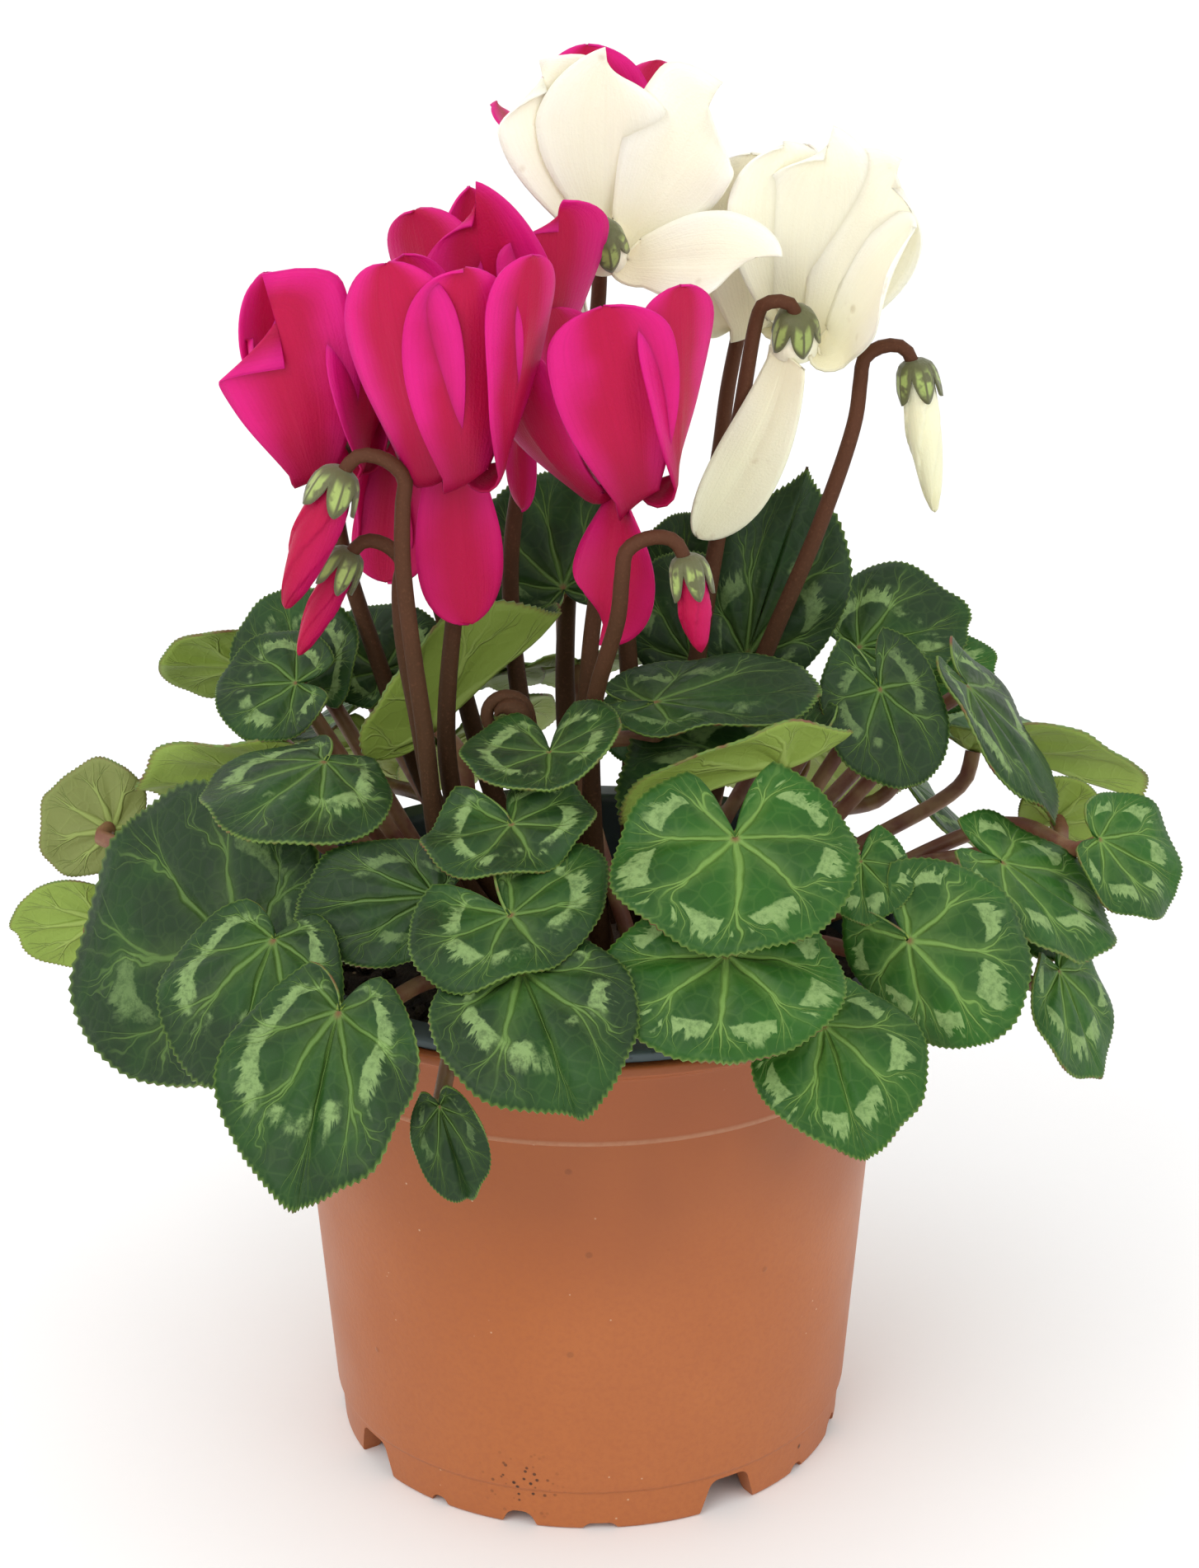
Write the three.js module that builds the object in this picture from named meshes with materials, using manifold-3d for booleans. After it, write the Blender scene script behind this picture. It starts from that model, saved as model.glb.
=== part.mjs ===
// A cyclamen in flower, in its pot. Millimetres, +Z up.
// The origin is on the pot's axis, at the level of the feet that the pot stands on.
// The front is -Y, and +X is to the right of someone who looks at the front.

import * as THREE from 'three';
import { mergeVertices } from 'three/addons/utils/BufferGeometryUtils.js';
import Module from 'manifold-3d';

const wasm = await Module();
wasm.setup();

// Driving dimensions of the pot and its liner

const POT_SIDES = 28;
const POT_WALL = 1.6;
const FOOT_RADIUS = 52;
const FOOT_INNER_RADIUS = 47;
const FOOT_HEIGHT = 8.6;
const WALL_FOOT_RADIUS = 53.4;
const BAND_HEIGHT = 89.5;
const BAND_RADIUS = 59.9;
const LIP_UNDERSIDE = 107.8;
const LIP_RADIUS = 70;
const POT_HEIGHT = 110.3;
const GAP = 0.3;
const LINER_WALL = 1.1;
const LINER_LIP_RADIUS = 68.6;
const LINER_LIP_HEIGHT = 2.4;
const SOIL_LEVEL = 96;
const SOIL_MOUND = 1.5;
const DRAIN_HOLES = 6;
const DRAIN_RADIUS = 4;
const DRAIN_CIRCLE = 30;
const DRAIN_SIDES = 8;

// Driving dimensions of the plant

const CORM_RADIUS = 25;
const CORM_TOP = 106;
const CORM_BOTTOM = 84;
const BLADE = 0.8;
const TOOTH = 0.02;
const PETIOLE_RADIUS = 1.6;
const PETIOLE_SIDES = 4;
const CROWN_RADIUS = 21;
const CROWN_DEPTH = 7;
const BACK_LEAF_REACH = 24;
const STALK_FOOT_RADIUS = 2.3;
const STALK_NECK_RADIUS = 1.3;
const STALK_SIDES = 5;
const HOOK = 3.7;
const HOOK_SHARE = 4;
const SEPALS = 5;
const SEPAL = 0.8;
const PETAL = 0.7;
const FOLD_RADIUS = 2.4;
const MOUTH_RADIUS = 4.2;
const THROAT_HEIGHT = 5.5;
const PETAL_FOOT_WIDTH = 8.5;

const FINISHES = {
  pot: { color: 0xb86a3f, roughness: 0.55, metalness: 0 },
  liner: { color: 0x3d4a4c, roughness: 0.5, metalness: 0 },
  soil: { color: 0x2a1d14, roughness: 1, metalness: 0 },
  stalk: { color: 0x6b3a28, roughness: 0.7, metalness: 0 },
  leaf: { color: 0x2f6b2c, roughness: 0.5, metalness: 0 },
  magenta: { color: 0xcc1477, roughness: 0.55, metalness: 0 },
  white: { color: 0xf1ecd6, roughness: 0.55, metalness: 0 },
};

// Slivers thinner than this are left out where pieces are joined.
const FINEST = 0.01;
// How far a cutter runs past what it cuts.
const OVERCUT = 1;

const degrees = (angle) => THREE.MathUtils.degToRad(angle);
const point = (xyz) => new THREE.Vector3(...xyz);
const mix = THREE.MathUtils.lerp;

// Solids

function closed(points, faces) {
  const geometry = new THREE.BufferGeometry();
  const position = new Float32Array(points.flatMap((p) => [p.x, p.y, p.z]));
  geometry.setAttribute('position', new THREE.BufferAttribute(position, 3));
  geometry.setIndex(faces.flat());
  return geometry;
}

function toManifold(geometry) {
  const bare = geometry.clone();
  bare.deleteAttribute('normal');
  bare.deleteAttribute('uv');
  const merged = mergeVertices(bare, 1e-4);
  const vertProperties = new Float32Array(merged.attributes.position.array);
  const triVerts = new Uint32Array(merged.index.array);
  return new wasm.Manifold(new wasm.Mesh({ numProp: 3, vertProperties, triVerts }));
}

function fromManifold(solid) {
  const mesh = solid.getMesh();
  const geometry = new THREE.BufferGeometry();
  geometry.setAttribute('position', new THREE.BufferAttribute(new Float32Array(mesh.vertProperties), 3));
  geometry.setIndex(Array.from(mesh.triVerts));
  return geometry;
}

function join(geometries) {
  const whole = geometries.map(toManifold).reduce((body, next) => body.add(next)).simplify(FINEST);
  // A pocket shut in between two lapping petals counts as a body of less than no volume, and is filled.
  return fromManifold(wasm.Manifold.compose(whole.decompose().filter((body) => body.volume() > 0)));
}

function cut(geometry, tools) {
  const cutters = tools.map(toManifold);
  return fromManifold(cutters.reduce((whole, cutter) => whole.subtract(cutter), toManifold(geometry)));
}

// A sheet is a grid of points with a thickness: `skin` is its upper triangles and `rim` its edge in order.

function sheet(points, skin, rim, thickness, share) {
  const normals = points.map(() => new THREE.Vector3());
  const side = new THREE.Vector3();
  for (const [a, b, c] of skin) {
    side.subVectors(points[b], points[a]).cross(points[c].clone().sub(points[a]));
    for (const corner of [a, b, c]) normals[corner].add(side);
  }
  normals.forEach((normal) => normal.normalize());
  const upper = points.map((p, i) => p.clone().addScaledVector(normals[i], thickness * share));
  const lower = points.map((p, i) => p.clone().addScaledVector(normals[i], thickness * (share - 1)));
  const count = points.length;
  const faces = skin.flatMap(([a, b, c]) => [[a, b, c], [count + a, count + c, count + b]]);
  rim.forEach((a, i) => {
    const b = rim[(i + 1) % rim.length];
    faces.push([a, b, count + a], [b, count + b, count + a]);
  });
  return closed([...upper, ...lower], faces);
}

// A tube of round section along a path, with a ring at each station and its radius from end to end.

function tube(path, stations, sides, radiusAt) {
  const points = [];
  const faces = [];
  const normal = new THREE.Vector3(0.3, -1, 0.2);
  for (const station of stations) {
    const centre = path.getPointAt(station);
    const ahead = path.getTangentAt(station);
    normal.addScaledVector(ahead, -normal.dot(ahead)).normalize();
    const binormal = ahead.clone().cross(normal);
    const radius = radiusAt(station);
    for (let k = 0; k < sides; k += 1) {
      const angle = (2 * Math.PI * k) / sides;
      const ring = centre.clone();
      ring.addScaledVector(normal, radius * Math.cos(angle));
      points.push(ring.addScaledVector(binormal, radius * Math.sin(angle)));
    }
  }
  const last = (stations.length - 1) * sides;
  for (let i = 0; i < last; i += sides) {
    for (let k = 0; k < sides; k += 1) {
      const a = i + k;
      const b = i + ((k + 1) % sides);
      faces.push([a, b, a + sides], [b, b + sides, a + sides]);
    }
  }
  for (let k = 1; k < sides - 1; k += 1) {
    faces.push([0, k + 1, k], [last, last + k, last + k + 1]);
  }
  return closed(points, faces);
}

function lathe(profile, sides) {
  const geometry = new THREE.LatheGeometry(profile.map(([r, z]) => new THREE.Vector2(r, z)), sides);
  return geometry.rotateX(Math.PI / 2);
}

// The pot, its liner and the soil

// Notches in the foot, each quarter of the ring alike: middle and width in degrees, and depth.
const FOOT_NOTCHES = [
  { middle: -58, width: 13, depth: 7.6 },
  { middle: -36, width: 4, depth: 1.9 },
  { middle: -16, width: 7, depth: 3.3 },
  { middle: 2, width: 8, depth: 1.5 },
];

const NOTCH_TOP_SHARE = 0.7;
const NOTCH_LENGTH = 12;
const NOTCH_OVERHANG = 4;

function notch({ middle, width, depth }, quarter) {
  const half = (FOOT_RADIUS * degrees(width)) / 2;
  const shape = new THREE.Shape();
  shape.moveTo(-half - OVERCUT, -OVERCUT);
  shape.lineTo(half + OVERCUT, -OVERCUT);
  shape.lineTo(half * NOTCH_TOP_SHARE, depth);
  shape.lineTo(-half * NOTCH_TOP_SHARE, depth);
  shape.closePath();
  const prism = new THREE.ExtrudeGeometry(shape, { depth: NOTCH_LENGTH, bevelEnabled: false });
  prism.rotateX(Math.PI / 2);
  prism.translate(0, NOTCH_LENGTH - NOTCH_OVERHANG - FOOT_RADIUS, 0);
  return prism.rotateZ(degrees(middle + 90 * quarter));
}

function drains(bottom, top) {
  return Array.from({ length: DRAIN_HOLES }, (_, i) => {
    const hole = new THREE.CylinderGeometry(DRAIN_RADIUS, DRAIN_RADIUS, top - bottom, DRAIN_SIDES);
    hole.rotateX(Math.PI / 2);
    hole.translate(DRAIN_CIRCLE, 0, (top + bottom) / 2);
    return hole.rotateZ((2 * Math.PI * (i + 0.5)) / DRAIN_HOLES);
  });
}

function potGeometry() {
  const floor = FOOT_HEIGHT - POT_WALL;
  const body = lathe([
    [0, floor],
    [FOOT_INNER_RADIUS, floor],
    [FOOT_INNER_RADIUS + 1, 0],
    [FOOT_RADIUS - 0.6, 0],
    [FOOT_RADIUS, 0.8],
    [FOOT_RADIUS + 0.6, FOOT_HEIGHT],
    [WALL_FOOT_RADIUS, FOOT_HEIGHT + 0.8],
    [BAND_RADIUS, BAND_HEIGHT],
    [BAND_RADIUS + 0.9, BAND_HEIGHT + 0.7],
    [BAND_RADIUS + 3.4, LIP_UNDERSIDE - 3],
    [LIP_RADIUS - 1, LIP_UNDERSIDE],
    [LIP_RADIUS, LIP_UNDERSIDE + 0.8],
    [LIP_RADIUS - 0.4, POT_HEIGHT],
    [BAND_RADIUS + 4.2 - POT_WALL, POT_HEIGHT],
    [BAND_RADIUS + 2.4 - POT_WALL, BAND_HEIGHT + 4],
    [WALL_FOOT_RADIUS - POT_WALL, FOOT_HEIGHT],
    [0, FOOT_HEIGHT],
  ], POT_SIDES);
  const quarters = [0, 1, 2, 3];
  const notches = quarters.flatMap((quarter) => FOOT_NOTCHES.map((form) => notch(form, quarter)));
  return cut(body, [...notches, ...drains(floor - OVERCUT, FOOT_HEIGHT + OVERCUT)]);
}

const LINER_FLOOR = FOOT_HEIGHT + GAP;
const LINER_TOP = POT_HEIGHT + GAP + LINER_LIP_HEIGHT;

function linerRadius(z) {
  const bandWall = BAND_RADIUS + 2.4 - POT_WALL;
  const top = BAND_HEIGHT + 4;
  return mix(WALL_FOOT_RADIUS - POT_WALL, bandWall, (z - FOOT_HEIGHT) / (top - FOOT_HEIGHT)) - GAP - 0.1;
}

function linerGeometry() {
  const floorTop = LINER_FLOOR + LINER_WALL;
  const body = lathe([
    [0, LINER_FLOOR],
    [linerRadius(LINER_FLOOR), LINER_FLOOR],
    [linerRadius(BAND_HEIGHT + 4), BAND_HEIGHT + 4],
    [BAND_RADIUS + 3.5 - POT_WALL, POT_HEIGHT + GAP],
    [LINER_LIP_RADIUS, POT_HEIGHT + GAP],
    [LINER_LIP_RADIUS, LINER_TOP - 0.8],
    [LINER_LIP_RADIUS - 1, LINER_TOP],
    [BAND_RADIUS + 2.6, LINER_TOP],
    [BAND_RADIUS + 1.4, LINER_TOP - 1],
    [linerRadius(BAND_HEIGHT) - LINER_WALL, BAND_HEIGHT],
    [linerRadius(floorTop) - LINER_WALL, floorTop],
    [0, floorTop],
  ], POT_SIDES);
  return cut(body, drains(LINER_FLOOR - OVERCUT, floorTop + OVERCUT));
}

function soilGeometry() {
  const inner = (z) => linerRadius(z) - LINER_WALL - GAP;
  const floor = LINER_FLOOR + LINER_WALL + GAP;
  const body = lathe([
    [0, floor],
    [inner(floor), floor],
    [inner(BAND_HEIGHT - 1), BAND_HEIGHT - 1],
    [inner(BAND_HEIGHT - 1) + 0.5, SOIL_LEVEL],
    [CORM_RADIUS + 12, SOIL_LEVEL + SOIL_MOUND],
    [0, SOIL_LEVEL + SOIL_MOUND],
  ], POT_SIDES);
  const seat = cormGeometry(GAP);
  return cut(body, [seat]);
}

function cormGeometry(extra) {
  const middle = (CORM_TOP + CORM_BOTTOM) / 2;
  const half = (CORM_TOP - CORM_BOTTOM) / 2 + extra;
  const rings = 4;
  const profile = [];
  for (let i = 0; i <= rings; i += 1) {
    const angle = -Math.PI / 2 + (Math.PI * i) / rings;
    profile.push([(CORM_RADIUS + extra) * Math.max(Math.cos(angle), 0), middle + half * Math.sin(angle)]);
  }
  profile[0][0] = 0;
  profile[rings][0] = 0;
  return lathe(profile, 16);
}

// Leaves: a heart outline in the leaf's own plane, folded, curled and arched, then set on its junction.

function leafFrame(leaf) {
  const at = point(leaf.at);
  const along = point(leaf.tip).sub(at);
  const length = along.length();
  along.normalize();
  const [azimuth, elevation] = leaf.face.map(degrees);
  const up = new THREE.Vector3(
    Math.sin(azimuth) * Math.cos(elevation),
    -Math.cos(azimuth) * Math.cos(elevation),
    Math.sin(elevation),
  );
  up.addScaledVector(along, -up.dot(along)).normalize();
  const across = along.clone().cross(up);
  return { at, along, up, across, length };
}

function outlinePoint(leaf, length, t) {
  const right = t >= 0;
  const wide = right ? leaf.wide[0] : leaf.wide[1];
  const sine = Math.abs(Math.sin(t));
  const pointed = Math.abs(t) < Math.PI / 2 ? 1 + leaf.point : 1;
  const u = wide * sine ** pointed * (right ? 1 : -1);
  const v = (length - leaf.lobe) / 2 + ((length + leaf.lobe) / 2) * Math.cos(t);
  const inNotch = Math.min(Math.max((Math.abs(t) - Math.PI + 0.55) / 0.55, 0), 1);
  const keep = 1 - 0.86 * inNotch * inNotch * (3 - 2 * inNotch);
  return [u * keep, v * keep];
}

function leafPoint(leaf, frame, u, v) {
  const bend = degrees(leaf.arch);
  const arc = (frame.length * (bend / 2)) / Math.sin(bend / 2);
  const curve = bend / arc;
  const slope = curve * (arc / 2 - (v * arc) / frame.length);
  const forward = (Math.sin(bend / 2) - Math.sin(slope)) / curve;
  const rise = (Math.cos(slope) - Math.cos(bend / 2)) / curve;
  const right = u >= 0;
  const wide = right ? leaf.wide[0] : leaf.wide[1];
  const fold = degrees(right ? leaf.fold[0] : leaf.fold[1]);
  const curl = degrees(right ? leaf.curl[0] : leaf.curl[1]) / wide;
  const out = Math.abs(u);
  const aside = (Math.sin(fold + curl * out) - Math.sin(fold)) / curl;
  const lift = (Math.cos(fold) - Math.cos(fold + curl * out)) / curl;
  const normal = frame.up.clone().multiplyScalar(Math.cos(slope));
  normal.addScaledVector(frame.along, -Math.sin(slope));
  const place = frame.at.clone().addScaledVector(frame.along, forward).addScaledVector(frame.up, rise);
  place.addScaledVector(frame.across, right ? aside : -aside);
  return place.addScaledVector(normal, lift);
}

function rufflePoint(leaf, frame, u, v, t, reach) {
  const [height, waves, phase] = leaf.ruffle;
  const place = leafPoint(leaf, frame, u, v);
  return place.addScaledVector(frame.up, height * reach * reach * Math.sin(waves * t + degrees(phase)));
}

function leafGeometry(leaf) {
  const frame = leafFrame(leaf);
  const inner = leaf.steps / 2;
  const points = [rufflePoint(leaf, frame, 0, 0, 0, 0)];
  for (let j = 0; j < inner; j += 1) {
    const t = -Math.PI + (2 * Math.PI * j) / inner;
    const [u, v] = outlinePoint(leaf, frame.length, t);
    points.push(rufflePoint(leaf, frame, u * 0.55, v * 0.55, t, 0.55));
  }
  for (let i = 0; i < leaf.steps; i += 1) {
    const t = -Math.PI + (2 * Math.PI * i) / leaf.steps;
    const [u, v] = outlinePoint(leaf, frame.length, t);
    const tooth = 1 + (i % 2 ? TOOTH : -TOOTH);
    points.push(rufflePoint(leaf, frame, u * tooth, v * tooth, t, 1));
  }
  const skin = [];
  for (let j = 0; j < inner; j += 1) {
    const a = 1 + j;
    const b = 1 + ((j + 1) % inner);
    const [c, d] = [1 + inner + 2 * j, 2 + inner + 2 * j];
    const e = 1 + inner + ((2 * j + 2) % leaf.steps);
    skin.push([0, b, a], [a, d, c], [a, b, d], [b, e, d]);
  }
  const rim = Array.from({ length: leaf.steps }, (_, i) => 1 + inner + i);
  return sheet(points, skin, rim, BLADE, 0);
}

// Each leaf has its junction with the petiole, its tip, and the way its upper face looks: azimuth from the
// front (towards +X) and elevation, in degrees. `wide` is the reach right and left of the midrib and `lobe`
// the reach behind the junction. Fold and curl, right and left, raise the halves; arch bends the midrib down.
function leaf(name, at, tip, face, wide, lobe, form = {}) {
  const plain = {
    point: 0.2, fold: [5, 5], curl: [-12, -12], arch: 14, ruffle: [0, 4, 0], steps: 18, via: null,
  };
  return { name, at, tip, face, wide, lobe, ...plain, ...form };
}

// Leaves that nobody sees from the front: a row round the back, each by its bearing from +X, with its junction
// at a radius and height. `swing` turns their faces by turns, so that each blade runs into the next.
function behind(name, bearings, radius, height, { tilt, swing }) {
  return bearings.map((bearing, i) => {
    const [x, y] = [Math.cos(degrees(bearing)), Math.sin(degrees(bearing))];
    const outer = radius + BACK_LEAF_REACH;
    const at = [radius * x, radius * y, height];
    const tip = [outer * x, outer * y, height - BACK_LEAF_REACH / Math.tan(degrees(tilt))];
    return leaf(name, at, tip, [90 + bearing + swing[i], tilt], [20, 20], 11, { point: 0.3, steps: 12 });
  });
}

const LEAVES = [
  leaf('leaf_left_1', [-45, -78, 126], [-52, -102, 98], [-12, 42], [19, 17], 9,
    { point: 0.55, fold: [8, 8], arch: 22 }),
  leaf('leaf_left_2', [-58, -59, 132], [-65, -79, 110], [-25, 42], [21, 17], 8,
    { point: 0.35, curl: [-20, -50], arch: 30, via: [-38, -40, 133] }),
  leaf('leaf_left_3', [-66, -42, 120], [-90, -12, 137], [-38, 30], [26, 34], 18, { point: 0.3 }),
  leaf('leaf_left_4', [-28, -55.5, 139], [-54, -52.5, 135], [-15, 42], [12.5, 13], 6, { point: 0.1 }),
  leaf('leaf_front_1', [-12, -74.5, 132.3], [-2, -96, 113.4], [0, 48], [20, 18], 9, { point: 0.6, arch: 36 }),
  leaf('leaf_front_2', [-14, -67, 140], [-6, -76, 134], [0, 58], [20, 21], 14,
    { point: 0.1, ruffle: [1.2, 4, 30] }),
  leaf('leaf_front_3', [-14, -50, 151], [-9, -60, 146], [0, 62], [17, 16], 12,
    { point: 0.05, ruffle: [1.1, 5, 0] }),
  leaf('leaf_front_4', [-7, -36, 160], [-7, -47, 156], [0, 70], [17, 15], 12, { point: 0.1, fold: [4, 32] }),
  leaf('leaf_front_5', [25, -72, 134], [24, -89, 120], [0, 50], [23, 22], 11, { point: 0.15 }),
  leaf('leaf_front_6', [27, -60, 152], [28, -79, 137], [0, 52], [23, 22], 16, { point: 0.05 }),
  leaf('leaf_front_7', [43, -72, 120], [50, -90, 102], [10, 46], [16, 17], 9, { point: 0.5 }),
  leaf('leaf_front_young', [-27, -84, 110], [-22, -86, 92], [0, 10], [7, 7], 4,
    { point: 0.5, fold: [20, 20], steps: 16, via: [-22, -62, 122] }),
  leaf('leaf_right_1', [60, -52, 128], [76, -60, 111], [25, 40], [16, 23], 14,
    { point: 0.1, fold: [-40, 5], curl: [-50, -12] }),
  leaf('leaf_right_2', [80, -26, 133], [103, -24, 116], [60, 48], [17, 15], 12, { point: 0.3 }),
  leaf('leaf_right_3', [92, -26, 110], [100, -32, 90], [60, 30], [15, 15], 6, { point: 0.3, steps: 16 }),
  leaf('leaf_right_4', [100, -17, 134], [118, -10, 121], [45, 30], [13, 13], 6,
    { point: 0.2, via: [84, 6, 128] }),
  leaf('leaf_right_5', [90, -6, 116], [100, -12, 106], [50, 50], [13, 13], 8, { steps: 16 }),
  leaf('leaf_right_6', [75, 0, 160], [93, -7, 134], [75, 35], [14, 18], 10, {}),
  leaf('leaf_right_7', [78, 18, 140], [115, 28, 125], [180, 80], [12.5, 20], 8,
    { point: 0.3, fold: [50, 30] }),
  leaf('leaf_right_8', [95, 12, 126], [103, 10, 134], [170, 20], [10, 10], 6, { steps: 16 }),
  leaf('leaf_right_9', [55, 20, 161], [78, 26, 165], [10, 45], [10, 17], 6, {}),
  leaf('leaf_middle_1', [-30.3, -2, 151.9], [-3.8, 4, 173.7], [-98, 37], [18, 16], 14,
    { point: 0.3, fold: [62, 35] }),
  leaf('leaf_middle_2', [-41, 19, 157], [-45, 29, 168], [0, 30], [14, 13], 8, { steps: 16 }),
  leaf('leaf_middle_3', [13, -20, 164], [45, -22, 166], [0, 75], [11, 15], 11,
    { ruffle: [2, 5, 40], via: [0.5, -13, 151.5] }),
  leaf('leaf_middle_4', [38, -26, 153], [5.7, -34, 145.6], [180, 75], [25, 15], 14,
    { point: 0.6, fold: [46, 45] }),
  leaf('leaf_middle_5', [57, -10, 163], [63, -20, 146], [10, 40], [13, 12], 12, {}),
  leaf('leaf_middle_6', [51.5, -42, 140], [51.5, -51, 131], [10, 45], [9.5, 10], 8, { steps: 16 }),
  leaf('leaf_upright_1', [32, 12, 162], [44, 20, 198], [0, 12], [16, 13], 6, { point: 1.2 }),
  leaf('leaf_upright_2', [21, 14, 161], [18, 21, 182], [0, 20], [12, 12], 6, { steps: 16 }),
  leaf('leaf_upright_3', [-4.5, 26, 172], [-10, 36, 194], [0, 25], [17, 18], 6, {}),
  leaf('leaf_left_5', [-50, -27, 155], [-66, -45, 148], [-10, 65], [22, 20], 8, { fold: [-15, 5] }),
  leaf('leaf_left_6', [-57, -4, 142], [-89, 1, 139], [180, 35], [15, 15], 10, {}),
  leaf('leaf_left_7', [-96, 8, 127], [-109, 9, 135], [-160, 10], [13.5, 13.5], 5, {}),
  leaf('leaf_left_8', [-99, 6, 108], [-118, 8, 105], [-170, 0], [10, 10], 5, { point: 0.3, steps: 16 }),
  leaf('leaf_left_9', [-57, -2, 162], [-73, 2, 159], [-20, 50], [13, 13], 8, { steps: 16 }),
  leaf('leaf_left_10', [-56, 9, 158], [-62, 22, 174], [-30, 35], [13, 15], 8, {}),
  leaf('leaf_left_11', [-70, 30, 154], [-87, 26, 157], [180, 35], [12, 12], 8, { steps: 16 }),
  leaf('leaf_upright_4', [21, 28, 168], [20, 33, 186], [0, 20], [11, 11], 6, { steps: 16 }),
  leaf('leaf_middle_7', [12, 0.8, 155], [9, -6.7, 146], [0, 50], [9, 9], 8, { steps: 16 }),
  leaf('leaf_right_10', [68, 22, 153], [84, 26, 157], [20, 50], [9, 9], 6, { steps: 16 }),
  ...behind('leaves_back_left', [146, 126, 106], 80, 124, { tilt: 46, swing: [24, -24, 24] }),
  ...behind('leaves_back_right', [74, 54, 34], 80, 124, { tilt: 46, swing: [-24, 24, -24] }),
  ...behind('leaves_back_middle', [140, 116, 92, 68, 45], 58, 145, { tilt: 60, swing: [16, -16, 16, -16, 16] }),
];

// Petioles: from the crown of the corm, over or under their neighbours, to the underside of the blade.

function petioleGeometry(entry) {
  const frame = leafFrame(entry);
  const droop = 1.5 * PETIOLE_RADIUS * Math.tan(degrees(Math.max(0, -Math.min(...entry.fold))));
  const landing = leafPoint(entry, frame, 0, 1).addScaledVector(frame.up, -(BLADE + GAP + 0.1 + droop));
  const heading = Math.atan2(landing.y, landing.x);
  const crown = CORM_TOP - CROWN_DEPTH;
  const start = new THREE.Vector3(CROWN_RADIUS * Math.cos(heading), CROWN_RADIUS * Math.sin(heading), crown);
  const before = landing.clone().addScaledVector(frame.up, -6);
  const middle = entry.via ? point(entry.via) : start.clone().lerp(before, 0.55);
  const low = Math.hypot(landing.x, landing.y) > LINER_LIP_RADIUS - 10;
  if (!entry.via && low) middle.z = Math.max(middle.z, 119 + 0.4 * Math.max(0, 122 - landing.z));
  const path = new THREE.CatmullRomCurve3([start, middle, before, landing]);
  return tube(path, [0, 0.4, 0.8, 1], PETIOLE_SIDES, () => PETIOLE_RADIUS);
}

// Blooms. The mouth of the flower looks down, and its petals turn back round it.
// `axis` points from the mouth up through the throat to the neck of the stalk.
// A petal is [phi, turn, length, width, bend, twist, cup, sway, tip, slant]. Phi is its place round the mouth,
// in degrees from the front towards +X. Turn is how far it folds back, 180 being straight up along the axis, and
// bend carries that on over its length. Sway leans it sideways, twist turns its width, and cup draws its edges
// inward. Tip is its form, from a broad fan at -1 to a point at 1, and slant tilts that by some millimetres.

function flowerFrame(axis) {
  const up = point(axis).normalize();
  const front = new THREE.Vector3(0, -1, 0);
  front.addScaledVector(up, -front.dot(up)).normalize();
  return { up, front, right: up.clone().cross(front) };
}

const PETAL_PATH_STEPS = 48;

function petalHalfWidth(width, s, tip) {
  const fan = Math.max(-tip, 0);
  const widest = 0.62 + 0.24 * fan;
  const grown = Math.sin((Math.PI / 2) * Math.min(s / widest, 1));
  const past = Math.max((s - widest) / (1 - widest), 0);
  const blunt = Math.sqrt(Math.max(1 - past ** (2.6 + fan), 0));
  const pointed = (1 - past) ** 0.75 * (1 + 0.5 * past);
  return mix(PETAL_FOOT_WIDTH / 2, width / 2, grown) * mix(blunt, pointed, Math.max(tip, 0));
}

function petalSections(mouth, axis, petal, stations) {
  const [phi, turn, length, width, bend, twist, cup, sway, tip, slant] = petal;
  const { up, front, right } = flowerFrame(axis);
  const out = front.clone().multiplyScalar(Math.cos(degrees(phi)));
  out.addScaledVector(right, Math.sin(degrees(phi)));
  const side = up.clone().cross(out);
  const foldLength = FOLD_RADIUS * degrees(turn);
  const total = foldLength + length;
  const place = point(mouth).addScaledVector(out, MOUTH_RADIUS).addScaledVector(up, 0.4);
  const sections = [];
  let walked = 0;
  for (const station of stations) {
    const goal = station < 0 ? foldLength * (1 + station) : foldLength + length * station;
    const step = total / PETAL_PATH_STEPS;
    const heading = (walk) => {
      const s = Math.max(walk - foldLength, 0) / length;
      const turned = degrees(Math.min(walk / foldLength, 1) * turn + bend * s);
      const swayed = degrees(sway * s);
      const ahead = out.clone().multiplyScalar(Math.sin(turned)).addScaledVector(up, -Math.cos(turned));
      return ahead.multiplyScalar(Math.cos(swayed)).addScaledVector(side, Math.sin(swayed));
    };
    while (walked < goal - 1e-9) {
      const stride = Math.min(step, goal - walked);
      place.addScaledVector(heading(walked + stride / 2), stride);
      walked += stride;
    }
    const s = Math.max(station, 0);
    const ahead = heading(walked);
    const across = side.clone().addScaledVector(ahead, -side.dot(ahead)).normalize();
    across.applyAxisAngle(ahead, degrees(twist * s));
    const inward = ahead.clone().cross(across);
    const half = station < 0 ? PETAL_FOOT_WIDTH / 2 : petalHalfWidth(width, s, tip);
    const lean = ahead.clone().multiplyScalar(slant * s * s);
    sections.push({ centre: place.clone(), across, inward, lean, half: Math.max(half, 0.6), cup: cup * half });
  }
  return sections;
}

// The last two make one row, rounded: its sides from one and its middle from the other.
const PETAL_STATIONS = [-1, -0.45, 0.15, 0.6, 0.92, 1];

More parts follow.
